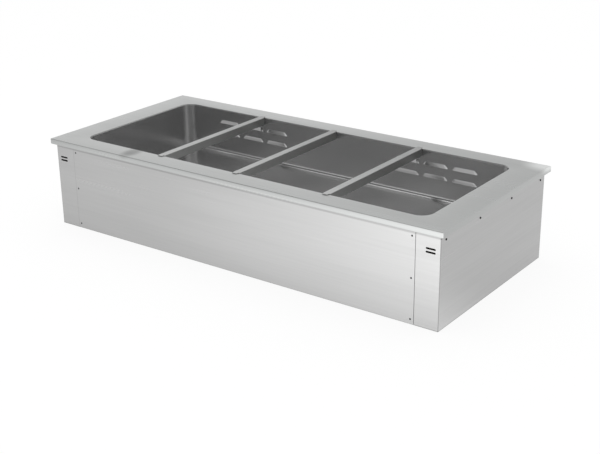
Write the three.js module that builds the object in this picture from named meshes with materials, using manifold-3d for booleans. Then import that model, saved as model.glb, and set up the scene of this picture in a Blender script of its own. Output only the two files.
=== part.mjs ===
// Drop in food well for four full-size gastronorm pans.
// Millimetres, +Z up, front towards -Y, length along X.
// The origin is under the middle of the base.
import * as THREE from "three";
import { mergeVertices } from "three/addons/utils/BufferGeometryUtils.js";
import { ConvexGeometry } from "three/addons/geometries/ConvexGeometry.js";
import Module from "manifold-3d";

const wasm = await Module();
wasm.setup();

// Rim, with its margins from the opening to its outer edges
const endMargin = 92;
const sideMargin = 70;
const overallHeight = 300;
const rimEdgeHeight = 18;
const rimSheet = 1.5;
const rimBend = 2.4;
const rimHem = 3;
const rimHemHeight = 12;
const rimHemRound = 0.9;
const rimOverhang = 14;

// Opening and well
const openingLength = 1306;
const openingDepth = 520;
const openingCorner = 40;
const wellDepth = 160;
const wellSheet = 1.2;
const wellFillet = 14;
const wellFlange = 14;

// Casing
const casingSheet = 1.2;
const endStripWidth = 77;
const seamGap = 0.6;
const joggleWidth = 24;
const panelFoot = 1;
const panelHead = 1;
const panelReturn = 11;
const basePanLip = 24;
const fit = 0.3;

// Screws
const screwHeadRadius = 3.2;
const screwHeadHeight = 1.6;
const screwShankRadius = 1.6;
const screwLength = 9;
const frontScrewInset = 11;
const screwDrop = 36;
const lowScrewHeight = 16;
const sideScrewCount = 4;
const sideScrewInset = 28;

// Vent slots in the front end strips
const ventLength = 31;
const ventHeight = 5.5;
const ventPitch = 10.5;
const ventDrop = 61.5;
const ventFromCorner = 15;
const ventCount = 2;

// Rails under the rim
const railSheet = 2;
const sideRailClearance = 4.2;
const endRailHeight = 45;
const railStandoff = 14;

// Crossbars
const barWidth = 22.5;
const barDrop = 27;
const barSheet = 1.5;
const barBend = 2;
const barLap = 7;
const barEndGap = 2.5;
const bayCount = 4;
const leftBarShift = 14;
const middleBarShift = 10;
const rightBarShift = 5;

// Louvres
const louvreMouth = 90;
const louvreLipInset = 3;
const louvreTopInset = 12;
const louvreHeight = 12;
const louvreProjection = 5;
const louvreGap = 15;
const louvreRowPitch = 40;
const louvreDrop = 38;
const louvreColumns = 3;
const louvreRows = 2;

// Blowers, one behind each louvre group
const blowerFromLeft = 298;
const blowerFromRight = 270;
const airBoxCover = 11;
const airBoxCoverHeight = 10;
const airBoxGap = 7.3;
const airBoxSheet = 1;
const airBoxFlange = 10;
const rotorShare = 0.37;
const rotorStandoff = 7;
const rotorDisc = 2;
const rotorBlades = 18;
const bladeChord = 5;
const bladeThickness = 0.8;
const bladeAngle = 30;
const shaftRadius = 3;
const shaftReach = 12;
const scrollClearance = 2.5;
const scrollSheet = 0.8;
const scrollTail = 27;
const scrollFrom = -100;
const scrollTo = 60;
const motorStack = 30;
const motorInset = 2;
const motorCapInset = 3;
const motorCapLength = 15;
const bushRadius = 7;
const bushFlange = 10;
const bushFlangeThickness = 2;
const elementRadius = 3;
const elementEndGap = 34;
const elementSpread = 9;
const elementRise = 27;
const terminalReach = 10;
const thermostatRadius = 8;
const thermostatHeight = 7;
const thermostatEar = 13;
const thermostatEarWidth = 12;
const thermostatEarSheet = 1;
const probeRadius = 2.5;
const probeLength = 60;
const probeCollar = 6;
const probeCollarLength = 5;
const probeFromBottom = 6;
const probeSetback = 12;

// Insulation
const boardGap = 8.5;
const boardCeiling = 4;
const boardEdge = 12;

// Drain
const drainFromEnd = 93;
const drainFromFront = 110;
const drainFlangeRadius = 35;
const drainFlange = 1.5;
const drainTubeRadius = 22;
const drainBoreRadius = 18;
const drainTail = 44;
const gasketThickness = 3;
const gasketRadius = 33;
const nutRadius = 34;
const nutHeight = 8;
const pipeWall = 2.2;
const pipeOverlap = 14;
const pipeFoot = 2;
const nutClearance = 3;
const plugLidRadius = 25;
const plugLid = 3;
const plugDepth = 11;
const plugTaper = 1;
const plugKnobRadius = 6;
const plugKnobNeck = 3.5;
const plugKnobHeight = 13;

// Electrical connection
const terminalLength = 60;
const terminalWidth = 20;
const terminalHeight = 18;
const terminalStep = 7;
const terminalWays = 5;
const terminalSlit = 1.5;
const terminalSlitDepth = 6;
const terminalFromCorner = 60;
const glandRadius = 11;
const glandBore = 5;
const glandHead = 11;
const glandNut = 6;
const glandThread = 8;
const glandHeight = 60;
const glandFromSeam = 54;

// Mesh fineness and the overrun of every cut
const overrun = 2;
const cornerSteps = 9;
const edgeSteps = 3;
const filletSteps = 6;
const bendSteps = 3;
const roundSides = 20;
const smallSides = 8;
const hexSides = 6;
const curveSteps = 8;
const weldDistance = 1e-4;
const sharpest = 0.01;

// Sizes and places worked out from the ones above
const rimLength = openingLength + 2 * endMargin;
const rimDepth = openingDepth + 2 * sideMargin;
const rimUnder = overallHeight - rimSheet;
const rimLow = overallHeight - rimEdgeHeight;
const bodyLength = rimLength - 2 * rimOverhang;
const bodyDepth = rimDepth - 2 * rimOverhang;
const bodyX = bodyLength / 2;
const bodyY = bodyDepth / 2;
const seamX = bodyX - endStripWidth;
const wellX = openingLength / 2;
const wellY = openingDepth / 2;
const floorTop = overallHeight - wellDepth;
const floorUnder = floorTop - wellSheet;
const flangeReach = wellSheet + wellFlange;
const carryZ = rimUnder - fit;
const screwTopZ = overallHeight - screwDrop;
const sideRailHeight = carryZ - (overallHeight - louvreDrop + airBoxCoverHeight) - sideRailClearance;
const louvrePitch = louvreMouth + louvreGap;
const louvreBand = (louvreRows - 1) * louvreRowPitch + louvreHeight;
const airBoxLength = (louvreColumns - 1) * louvrePitch + louvreMouth + 2 * airBoxCover;
const airBoxHeight = louvreBand + 2 * airBoxCoverHeight;
const airBoxDepth = sideMargin - rimOverhang - casingSheet - airBoxGap - wellSheet - fit;
const rotorRadius = rotorShare * airBoxDepth;
const rotorLength = airBoxLength - 2 * shaftReach;
const rotorY = wellY + wellSheet + fit + rotorStandoff + rotorRadius;
const rotorZ = overallHeight - louvreDrop - louvreBand / 2;
const blowerPlaces = { left: blowerFromLeft - wellX, right: wellX - blowerFromRight };
const motorSide = airBoxDepth - 2 * motorInset;
const elementLength = airBoxLength - elementEndGap;
const probeDrop = airBoxHeight / 2 - probeFromBottom;
const boardThickness =
  sideMargin - rimOverhang - railStandoff - railSheet - boardGap - wellSheet - fit;
const drainX = wellX - drainFromEnd;
const drainY = drainFromFront - wellY;
const frontScrewHeights = [screwTopZ, (screwTopZ + lowScrewHeight) / 2, lowScrewHeight];
const rearScrewHeights = [screwTopZ, lowScrewHeight];
const panelScrewX = seamX - frontScrewInset;
const sideScrewReach = bodyY - sideScrewInset;
const sideScrewPlaces = Array.from(
  { length: sideScrewCount },
  (_, i) => ((2 * i) / (sideScrewCount - 1) - 1) * sideScrewReach,
);

// Finishes
const steel = new THREE.MeshStandardMaterial({ color: 0xbfc1c0, roughness: 0.35, metalness: 1 });
const darkSteel = new THREE.MeshStandardMaterial({ color: 0x8c8f8f, roughness: 0.4, metalness: 1 });
const zincSteel = new THREE.MeshStandardMaterial({ color: 0xa4a8aa, roughness: 0.5, metalness: 1 });
const wool = new THREE.MeshStandardMaterial({ color: 0xb7a878, roughness: 1, metalness: 0 });
const foam = new THREE.MeshStandardMaterial({ color: 0x2b2c2d, roughness: 0.95, metalness: 0 });
const blackPlastic = new THREE.MeshStandardMaterial({ color: 0x1d1e20, roughness: 0.6, metalness: 0 });
const palePlastic = new THREE.MeshStandardMaterial({ color: 0xd9d6cc, roughness: 0.5, metalness: 0 });

// A three.js geometry as a solid that can be cut and joined.
function solidFrom(geometry) {
  const bare = new THREE.BufferGeometry();
  bare.setAttribute("position", geometry.getAttribute("position").clone());
  if (geometry.index) bare.setIndex(geometry.index.clone());
  const welded = mergeVertices(bare, weldDistance);
  return new wasm.Manifold(
    new wasm.Mesh({
      numProp: 3,
      vertProperties: new Float32Array(welded.getAttribute("position").array),
      triVerts: new Uint32Array(welded.index.array),
    }),
  );
}

// A finished solid as a named mesh.
function meshFrom(name, solid, material) {
  const made = solid.getMesh();
  const geometry = new THREE.BufferGeometry();
  geometry.setAttribute("position", new THREE.BufferAttribute(new Float32Array(made.vertProperties), 3));
  geometry.setIndex(new THREE.BufferAttribute(new Uint32Array(made.triVerts), 1));
  geometry.computeVertexNormals();
  const mesh = new THREE.Mesh(geometry, material);
  mesh.name = name;
  return mesh;
}

function join(solids) {
  return solids.reduce((whole, next) => whole.add(next));
}

// A box between two values along each axis.
function block([x0, x1], [y0, y1], [z0, z1]) {
  const shape = new THREE.BoxGeometry(x1 - x0, y1 - y0, z1 - z0);
  shape.translate((x0 + x1) / 2, (y0 + y1) / 2, (z0 + z1) / 2);
  return solidFrom(shape);
}

// Turns a shape that was made along Y so that it lies along another axis.
function layAlong(axis, geometry) {
  if (axis === "x") geometry.rotateZ(-Math.PI / 2);
  if (axis === "z") geometry.rotateX(Math.PI / 2);
  return geometry;
}

// A round bar along an axis, given its two ends on that axis and its centre across it.
function rod(axis, radius, [from, to], centre, sides = roundSides) {
  const shape = layAlong(axis, new THREE.CylinderGeometry(radius, radius, to - from, sides));
  const place = new THREE.Vector3(...centre);
  place[axis] = (from + to) / 2;
  shape.translate(place.x, place.y, place.z);
  return solidFrom(shape);
}

// The outline of a rectangle with round corners, counterclockwise.
function roundedLoop(length, depth, radius, steps) {
  const loop = [];
  for (let corner = 0; corner < 4; corner += 1) {
    const start = (corner * Math.PI) / 2;
    const signX = corner === 0 || corner === 3 ? 1 : -1;
    const signY = corner < 2 ? 1 : -1;
    for (let step = 0; step <= steps; step += 1) {
      const angle = start + (step / steps) * (Math.PI / 2);
      loop.push([
        signX * (length / 2 - radius) + radius * Math.cos(angle),
        signY * (depth / 2 - radius) + radius * Math.sin(angle),
      ]);
    }
  }
  return loop;
}

// A solid through stacked rounded rectangles. Each level is [z, inset], lowest first.
function stackedBlock(length, depth, corner, levels, steps = cornerSteps) {
  const points = [];
  const faces = [];
  let around = 0;
  for (const [z, inset] of levels) {
    const radius = Math.max(corner - inset, sharpest);
    const loop = roundedLoop(length - 2 * inset, depth - 2 * inset, radius, steps);
    around = loop.length;
    for (const [x, y] of loop) points.push(x, y, z);
  }
  for (let level = 0; level + 1 < levels.length; level += 1) {
    for (let i = 0; i < around; i += 1) {
      const a = level * around + i;
      const b = level * around + ((i + 1) % around);
      faces.push(a, b, b + around, a, b + around, a + around);
    }
  }
  const top = (levels.length - 1) * around;
  for (let i = 1; i + 1 < around; i += 1) {
    faces.push(0, i + 1, i);
    faces.push(top, top + i, top + i + 1);
  }
  const geometry = new THREE.BufferGeometry();
  geometry.setAttribute("position", new THREE.BufferAttribute(new Float32Array(points), 3));
  geometry.setIndex(faces);
  return solidFrom(geometry);
}

// The closed outline of a bent sheet whose one face follows the path. Thickness lies to the left of it.
function sheetOutline(path, thickness) {
  const offset = path.map((point, i) => {
    const before = path[Math.max(i - 1, 0)];
    const after = path[Math.min(i + 1, path.length - 1)];
    const inward = new THREE.Vector2(point[0] - before[0], point[1] - before[1]).normalize();
    const onward = new THREE.Vector2(after[0] - point[0], after[1] - point[1]).normalize();
    if (i === 0) inward.copy(onward);
    if (i === path.length - 1) onward.copy(inward);
    const normal = new THREE.Vector2(-inward.y - onward.y, inward.x + onward.x).normalize();
    const stretch = thickness / (normal.x * -inward.y + normal.y * inward.x);
    return [point[0] + normal.x * stretch, point[1] + normal.y * stretch];
  });
  return [...path, ...offset.reverse()];
}

// An outline pushed along an axis. Outlines are in (x, y) for z, (x, z) for y and (y, z) for x.
function push(axis, outline, [from, to]) {
  const shape = new THREE.Shape(outline.map(([u, v]) => new THREE.Vector2(u, v)));
  const geometry = new THREE.ExtrudeGeometry(shape, { depth: to - from, bevelEnabled: false });
  if (axis === "z") geometry.translate(0, 0, from);
  if (axis === "y") geometry.rotateX(Math.PI / 2).translate(0, to, 0);
  if (axis === "x") {
    const turn = new THREE.Matrix4().makeBasis(
      new THREE.Vector3(0, 1, 0),
      new THREE.Vector3(0, 0, 1),
      new THREE.Vector3(1, 0, 0),
    );
    geometry.applyMatrix4(turn).translate(from, 0, 0);
  }
  return solidFrom(geometry);
}

// Points on an arc in a section, angles in degrees.
function arcPoints([cu, cv], radius, fromDegrees, toDegrees, steps) {
  return Array.from({ length: steps + 1 }, (_, i) => {
    const angle = THREE.MathUtils.degToRad(fromDegrees + ((toDegrees - fromDegrees) * i) / steps);
    return [cu + radius * Math.cos(angle), cv + radius * Math.sin(angle)];
  });
}

// A shape turned about Y from (radius, height) points that start and end on the axis.
function turned(profile, sides = roundSides) {
  return new THREE.LatheGeometry(
    profile.map(([radius, height]) => new THREE.Vector2(radius, height)),
    sides,
  );
}

// The rim: a sheet folded down at its outer edge with a hem, open over the well.
function topFrame() {
  const bend = Array.from({ length: bendSteps + 1 }, (_, i) => {
    const angle = (i / bendSteps) * (Math.PI / 2);
    return [overallHeight - rimBend + rimBend * Math.sin(angle), rimBend * (1 - Math.cos(angle))];
  });
  const hem = [[rimLow, rimHemRound], [rimLow + rimHemRound, 0]];
  const outer = stackedBlock(rimLength, rimDepth, rimBend, [...hem, ...bend], edgeSteps);
  const hemPocket = block(
    [rimHem - rimLength / 2, rimLength / 2 - rimHem],
    [rimHem - rimDepth / 2, rimDepth / 2 - rimHem],
    [rimLow - overrun, rimUnder],
  );
  const skirtPocket = block(
    [rimSheet - rimLength / 2, rimLength / 2 - rimSheet],
    [rimSheet - rimDepth / 2, rimDepth / 2 - rimSheet],
    [rimLow + rimHemHeight, rimUnder],
  );
  const opening = stackedBlock(openingLength, openingDepth, openingCorner, [
    [rimLow - overrun, 0],
    [overallHeight + overrun, 0],
  ]);
  return meshFrom("top_frame", outer.subtract(hemPocket).subtract(skirtPocket).subtract(opening), steel);
}

// The foam strip between the casing and the hem, level with the hem's lower edge.
function rimSeal() {
  const outerX = rimLength / 2 - rimHem - fit;
  const outerY = rimDepth / 2 - rimHem - fit;
  const innerX = bodyX + fit;
  const innerY = bodyY + fit;
  const outer = block([-outerX, outerX], [-outerY, outerY], [rimLow, carryZ]);
  const inner = block([-innerX, innerX], [-innerY, innerY], [rimLow - overrun, carryZ + overrun]);
  return meshFrom("rim_seal", outer.subtract(inner), foam);
}

// One louvre's hood, or its hollow when everything is drawn in by a wall.
function louvreHull(centreX, topZ, wall, back) {
  const lipZ = topZ - louvreHeight - (wall ? overrun : 0);
  const startZ = topZ - (wall * louvreHeight) / louvreProjection;
  const points = [];
  for (const side of [-1, 1]) {
    const topX = centreX + side * (louvreMouth / 2 - louvreTopInset - wall);
    const mouthX = centreX + side * (louvreMouth / 2 - wall);
    const lipX = centreX + side * (louvreMouth / 2 - louvreLipInset - wall);
    points.push(new THREE.Vector3(topX, wellY, startZ), new THREE.Vector3(topX, back, startZ));
    points.push(new THREE.Vector3(mouthX, wellY, lipZ), new THREE.Vector3(mouthX, back, lipZ));
    points.push(new THREE.Vector3(lipX, wellY - louvreProjection + wall, lipZ));
  }
  return solidFrom(new ConvexGeometry(points));
}

// The well: walls, floor, round corners, the flange under the rim and the louvres.
function wellTub() {
  const floorRound = (radius, floorZ) =>
    Array.from({ length: filletSteps + 1 }, (_, i) => {
      const angle = (i / filletSteps) * (Math.PI / 2);
      return [floorZ + radius * (1 - Math.cos(angle)), radius * (1 - Math.sin(angle))];
    });
  const outer = stackedBlock(
    openingLength + 2 * wellSheet,
    openingDepth + 2 * wellSheet,
    openingCorner + wellSheet,
    [...floorRound(wellFillet + wellSheet, floorUnder), [carryZ, 0]],
  );
  const hollow = stackedBlock(openingLength, openingDepth, openingCorner, [
    ...floorRound(wellFillet, floorTop),
    [carryZ + overrun, 0],
  ]);
  const flange = stackedBlock(
    openingLength + 2 * flangeReach,
    openingDepth + 2 * flangeReach,
    openingCorner + flangeReach,
    [[carryZ - wellSheet, 0], [carryZ, 0]],
  );
  let tub = outer.add(flange).subtract(hollow);
  for (const groupX of Object.values(blowerPlaces)) {
    for (let column = 0; column < louvreColumns; column += 1) {
      for (let row = 0; row < louvreRows; row += 1) {
        const centreX = groupX + (column - (louvreColumns - 1) / 2) * louvrePitch;
        const topZ = overallHeight - louvreDrop - row * louvreRowPitch;
        tub = tub.add(louvreHull(centreX, topZ, 0, wellY + wellSheet));
        tub = tub.subtract(louvreHull(centreX, topZ, wellSheet, wellY + wellSheet + overrun));
      }
    }
  }
  const through = [floorUnder - overrun, floorTop + overrun];
  const drainHole = rod("z", drainTubeRadius + fit, through, [drainX, drainY, 0]);
  return meshFrom("well_tub", tub.subtract(drainHole), darkSteel);
}

// A crossbar: an upside-down channel whose top laps over the rim at both ends.
function crossbar(name, x) {
  const topZ = overallHeight + fit + barSheet;
  const half = barWidth / 2;
  const path = [
    [half, topZ - barDrop],
    ...arcPoints([half - barBend, topZ - barBend], barBend, 0, 90, bendSteps),
    ...arcPoints([barBend - half, topZ - barBend], barBend, 90, 180, bendSteps),
    [-half, topZ - barDrop],
  ];
  const legReach = wellY - barEndGap;
  const channel = push("y", sheetOutline(path, barSheet), [-legReach, legReach]);
  const tabReach = wellY + barLap;
  const tab = block([barBend - half, half - barBend], [-tabReach, tabReach], [topZ - barSheet, topZ]);
  return meshFrom(name, channel.add(tab).translate([x, 0, 0]), steel);
}

function crossbars() {
  const bayPitch = openingLength / bayCount;
  const group = new THREE.Group();
  group.add(crossbar("left_crossbar", leftBarShift - bayPitch));
  group.add(crossbar("middle_crossbar", -middleBarShift));
  group.add(crossbar("right_crossbar", bayPitch - rightBarShift));
  return group;
}

// The holes that the panel screws need through the panels and the flanges behind them.
function panelScrewHoles(side) {
  const along = side < 0 ? [-bodyY - overrun, screwLength - bodyY] : [bodyY - screwLength, bodyY + overrun];
  const heights = side < 0 ? frontScrewHeights : rearScrewHeights;
  const holes = [];
  for (const x of [-panelScrewX, panelScrewX]) {
    for (const z of heights) holes.push(rod("y", screwShankRadius + fit, along, [x, 0, z], smallSides));
  }
  return join(holes);
}

// A side panel with its front and rear returns. The ends step back behind the front and rear panels.
function sidePanel(name, side) {
  const step = casingSheet + fit;
  const path = [
    [seamX - joggleWidth, step - bodyY],
    [seamX + casingSheet, step - bodyY],
    [seamX + casingSheet + fit, -bodyY],
    [bodyX, -bodyY],
    [bodyX, bodyY],
    [seamX + casingSheet + fit, bodyY],
    [seamX + casingSheet, bodyY - step],
    [seamX - joggleWidth, bodyY - step],
  ];
  const outline = sheetOutline(path, casingSheet).map(([x, y]) => [side * x, y]);
  let panel = push("z", outline, [0, carryZ]);
  for (let i = 0; i < ventCount; i += 1) {
    const z = overallHeight - ventDrop - i * ventPitch;
    const outerX = bodyX - ventFromCorner - ventHeight / 2;
    const innerX = bodyX - ventFromCorner - ventLength + ventHeight / 2;
    const along = [-bodyY - overrun, overrun - bodyY + casingSheet];
    const spanX = side < 0 ? [-outerX, -innerX] : [innerX, outerX];
    panel = panel.subtract(block(spanX, along, [z - ventHeight / 2, z + ventHeight / 2]));
    for (const x of spanX) {
      panel = panel.subtract(rod("y", ventHeight / 2, along, [x, 0, z], smallSides));
    }
  }
  for (const y of sideScrewPlaces) {
    const along = side < 0 ? [-bodyX - overrun, overrun - bodyX] : [bodyX - overrun, bodyX + overrun];
    panel = panel.subtract(rod("x", screwShankRadius + fit, along, [0, y, screwTopZ], smallSides));
  }
  panel = panel.subtract(panelScrewHoles(-1)).subtract(panelScrewHoles(1));
  return meshFrom(name, panel, steel);
}

// The front or rear panel: a flat sheet with a stiffening return along its top edge.
function facePanel(name, side) {
  const halfLength = seamX - seamGap;
  const topZ = rimLow - panelHead;
  const across = (from, to) => (side < 0 ? [from - bodyY, to - bodyY] : [bodyY - to, bodyY - from]);
  const sheet = block([-halfLength, halfLength], across(0, casingSheet), [panelFoot, topZ]);
  const returnX = seamX - joggleWidth - fit;
  const returnY = across(0, casingSheet + panelReturn);
  const stiffener = block([-returnX, returnX], returnY, [topZ - casingSheet, topZ]);
  let panel = sheet.add(stiffener).subtract(panelScrewHoles(side));
  if (side > 0) {
    const through = [bodyY - casingSheet - overrun, bodyY + overrun];
    panel = panel.subtract(rod("y", glandThread + fit, through, [glandFromSeam - seamX, 0, glandHeight]));
  }
  return meshFrom(name, panel, steel);
}

// A pan-head screw whose head points along an axis in one direction.
function screw(name, axis, side, centre, face) {
  const geometry = turned(
    [
      [0, -screwLength],
      [screwShankRadius, -screwLength],
      [screwShankRadius, 0],
      [screwHeadRadius, 0],
      [screwHeadRadius, screwHeadHeight / 2],
      [(screwHeadRadius + screwShankRadius) / 2, screwHeadHeight],
      [0, screwHeadHeight],
    ],
    smallSides,
  );
  if (side < 0) geometry.rotateX(Math.PI);
  if (axis === "x") geometry.rotateZ(-Math.PI / 2);
  const place = new THREE.Vector3(...centre);
  place[axis] = side * (face + fit);
  geometry.translate(place.x, place.y, place.z);
  return meshFrom(name, solidFrom(geometry), darkSteel);
}

function panelScrews(prefix, side) {
  const heights = side < 0 ? frontScrewHeights : rearScrewHeights;
  const group = new THREE.Group();
  let number = 1;
  for (const x of [-panelScrewX, panelScrewX]) {
    for (const z of heights) {
      group.add(screw(prefix + "_screw_" + number, "y", side, [x, 0, z], bodyY));
      number += 1;
    }
  }
  return group;
}

function sideScrews(prefix, side) {
  const group = new THREE.Group();
  sideScrewPlaces.forEach((y, i) => {
    group.add(screw(prefix + "_side_screw_" + (i + 1), "x", side, [0, y, screwTopZ], bodyX));
  });
  return group;
}

// The bottom sheet with its edges turned up inside the casing.
function basePan() {
  const halfX = bodyX - casingSheet - fit;
  const halfY = bodyY - 2 * (casingSheet + fit);
  const tray = block([-halfX, halfX], [-halfY, halfY], [0, basePanLip]);
  const inside = block(
    [casingSheet - halfX, halfX - casingSheet],
    [casingSheet - halfY, halfY - casingSheet],
    [casingSheet, basePanLip + overrun],
  );
  const pipeRadius = drainTubeRadius + fit + pipeWall;
  const through = [-overrun, casingSheet + overrun];
  const pan = tray
    .subtract(inside)
    .subtract(rod("z", pipeRadius + fit, through, [drainX, drainY, 0]))
    .subtract(panelScrewHoles(-1))
    .subtract(panelScrewHoles(1));
  return meshFrom("base_pan", pan, zincSteel);
}

// The angles under the rim's front and rear margins.
function sideRail(name, side) {
  const outerY = bodyY - railStandoff;
  const innerY = wellY + flangeReach + fit;
  const path = [[innerY, carryZ], [outerY, carryZ], [outerY, carryZ - sideRailHeight]];
  const outline = sheetOutline(path, -railSheet).map(([y, z]) => [side * y, z]);
  const reach = wellX + flangeReach;
  return meshFrom(name, push("x", outline, [-reach, reach]), zincSteel);
}

// The angles under the rim's end margins, which the side panels are screwed to.
function endRail(name, side) {
  const outerX = bodyX - casingSheet - fit;
  const innerX = wellX + flangeReach + fit;
  const path = [[innerX, carryZ], [outerX, carryZ], [outerX, carryZ - endRailHeight]];
  const outline = sheetOutline(path, -railSheet).map(([x, z]) => [side * x, z]);
  const reach = bodyY - casingSheet - fit;
  let rail = push("y", outline, [-reach, reach]);
  for (const y of sideScrewPlaces) {
    const along = side < 0 ? [-bodyX, screwLength - bodyX] : [bodyX - screwLength, bodyX];
    rail = rail.subtract(rod("x", screwShankRadius + fit, along, [0, y, screwTopZ], smallSides));
  }
  return meshFrom(name, rail, zincSteel);
}

// Insulation boards. The floor board reaches out under the wall boards.
function insulation() {
  const group = new THREE.Group();
  const nearX = wellX + wellSheet + fit;
  const nearY = wellY + wellSheet + fit;
  const topZ = carryZ - railSheet - boardCeiling;
  const lowZ = floorUnder;
  const floorBoard = block(
    [-nearX - boardThickness, nearX + boardThickness],
    [-nearY - boardThickness, wellY],
    [floorUnder - fit - boardThickness, floorUnder - fit],
  );
  const drainPocket = rod("z", nutRadius + nutClearance, [0, floorUnder], [drainX, drainY, 0]);
  group.add(meshFrom("insulation_floor", floorBoard.subtract(drainPocket), wool));
  const front = block([-wellX, wellX], [-nearY - boardThickness, -nearY], [lowZ, topZ]);
  group.add(meshFrom("insulation_front", front, wool));
  const endY = [boardEdge - wellY, wellY - boardEdge];
  group.add(meshFrom("insulation_left", block([-nearX - boardThickness, -nearX], endY, [lowZ, topZ]), wool));
  group.add(meshFrom("insulation_right", block([nearX, nearX + boardThickness], endY, [lowZ, topZ]), wool));
  return group;
}

// A cross-flow rotor with straight blades between discs, on a shaft along X.
function blowerRotor(name, centreX) {
  const half = rotorLength / 2;
  const axis = [0, 0, 0];
  const pieces = [rod("x", shaftRadius, [-half - shaftReach, -half + rotorDisc], axis, smallSides)];
  pieces.push(rod("x", shaftRadius, [half - rotorDisc, half + shaftReach], axis, smallSides));
  for (const x of [-half, -rotorDisc / 2, half - rotorDisc]) {
    pieces.push(rod("x", rotorRadius, [x, x + rotorDisc], axis));
  }
  for (let i = 0; i < rotorBlades; i += 1) {
    const blade = new THREE.BoxGeometry(rotorLength - rotorDisc, bladeThickness, bladeChord);
    blade.rotateX(THREE.MathUtils.degToRad(bladeAngle));
    blade.translate(0, 0, rotorRadius - bladeChord / 2 - bladeThickness);
    blade.rotateX((i / rotorBlades) * 2 * Math.PI);
    pieces.push(solidFrom(blade));
  }
  return meshFrom(name, join(pieces).translate([centreX, rotorY, rotorZ]), zincSteel);
}

// The folded box behind a louvre group, open towards the well.
function airBox(name, centreX) {
  const half = airBoxLength / 2;
  const nearY = wellY + wellSheet + fit;
  const farY = nearY + airBoxDepth;
  const highZ = rotorZ + airBoxHeight / 2;
  const lowZ = rotorZ - airBoxHeight / 2;
  const shell = block([-half, half], [nearY, farY], [lowZ, highZ]);
  const inside = block(
    [airBoxSheet - half, half - airBoxSheet],
    [nearY - overrun, farY - airBoxSheet],
    [lowZ + airBoxSheet, highZ - airBoxSheet],
  );
  const flangeZ = [lowZ - airBoxFlange, highZ + airBoxFlange];
  const flange = block([-half, half], [nearY, nearY + airBoxSheet], flangeZ);
  const motorEnd = [-half - overrun, airBoxSheet + overrun - half];
  const bushEnd = [half - airBoxSheet - overrun, half + overrun];
  const elementZ = rotorZ + elementRise;
  const holes = [
    rod("x", shaftRadius + fit, motorEnd, [0, rotorY, rotorZ], smallSides),
    rod("x", elementRadius + fit, motorEnd, [0, rotorY - elementSpread, elementZ], smallSides),
    rod("x", elementRadius + fit, motorEnd, [0, rotorY + elementSpread, elementZ], smallSides),
    rod("x", bushRadius + fit, bushEnd, [0, rotorY, rotorZ]),
    rod("x", probeRadius + fit, bushEnd, [0, rotorY - probeSetback, rotorZ - probeDrop], smallSides),
  ];
  const box = shell.add(flange).subtract(inside).subtract(join(holes));
  return meshFrom(name, box.translate([centreX, 0, 0]), zincSteel);
}

// The curved sheet that guides air round the rotor and out of the lower louvres.
function blowerScroll(name, centreX) {
  const reach = airBoxLength / 2 - airBoxSheet - fit;
  const radius = rotorRadius + scrollClearance;
  const path = [
    [wellY + wellSheet + fit + airBoxSheet, rotorZ - scrollTail],
    ...arcPoints([rotorY, rotorZ], radius, scrollFrom, scrollTo, curveSteps),
  ];
  const sheet = push("x", sheetOutline(path, -scrollSheet), [-reach, reach]);
  return meshFrom(name, sheet.translate([centreX, 0, 0]), zincSteel);
}

// A small motor on the box's end: an iron stack, a cap and a bore for the shaft.
function blowerMotor(name, centreX) {
  const faceX = centreX - airBoxLength / 2 - fit;
  const halfSide = motorSide / 2;
  const stack = block(
    [faceX - motorStack, faceX],
    [rotorY - halfSide, rotorY + halfSide],
    [rotorZ - halfSide, rotorZ + halfSide],
  );
  const centre = [0, rotorY, rotorZ];
  const capEnds = [faceX - motorStack - motorCapLength, faceX - motorStack];
  const cap = rod("x", halfSide - motorCapInset, capEnds, centre);
  const bore = rod("x", shaftRadius + fit, [faceX - motorStack / 2, faceX + overrun], centre);
  return meshFrom(name, stack.add(cap).subtract(bore), darkSteel);
}

// The bush that carries the rotor's far end, held in the box's end plate.
function rotorBush(name, centreX) {
  const plateX = centreX + airBoxLength / 2;
  const centre = [0, rotorY, rotorZ];
  const bush = rod("x", bushRadius, [plateX - airBoxSheet - bushFlangeThickness, plateX + fit], centre)
    .add(rod("x", bushFlange, [plateX + fit, plateX + fit + bushFlangeThickness], centre))
    .subtract(rod("x", shaftRadius + fit, [plateX - airBoxDepth, plateX + airBoxDepth], centre));
  return meshFrom(name, bush, blackPlastic);
}

// A hairpin heating element whose two ends pass through the box's end plate.
function heatingElement(name, centreX) {
  const startX = centreX - airBoxLength / 2 - terminalReach;
  const bendX = startX + elementLength;
  const z = rotorZ + elementRise;
  const turn = arcPoints([bendX, rotorY], elementSpread, -90, 90, curveSteps);
  const bend = new THREE.CatmullRomCurve3(turn.map(([x, y]) => new THREE.Vector3(x, y, z)));
  const section = new THREE.Shape().absarc(0, 0, elementRadius, 0, 2 * Math.PI);
  const hairpin = new THREE.ExtrudeGeometry(section, {
    steps: curveSteps,
    curveSegments: smallSides / 2,
    extrudePath: bend,
    bevelEnabled: false,
  });
  const legs = [-elementSpread, elementSpread].map((y) =>
    rod("x", elementRadius, [startX, bendX + elementRadius / 3], [0, rotorY + y, z], smallSides),
  );
  return meshFrom(name, join([solidFrom(hairpin), ...legs]), darkSteel);
}

// The over-temperature switch on top of the box.
function safetyThermostat(name, centreX) {
  const seatZ = rotorZ + airBoxHeight / 2 + fit;
  const ears = block(
    [centreX - thermostatEar, centreX + thermostatEar],
    [rotorY - thermostatEarWidth / 2, rotorY + thermostatEarWidth / 2],
    [seatZ, seatZ + thermostatEarSheet],
  );
  const can = rod("z", thermostatRadius, [seatZ, seatZ + thermostatHeight], [centreX, rotorY, 0]);
  return meshFrom(name, ears.add(can), blackPlastic);
}

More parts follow.
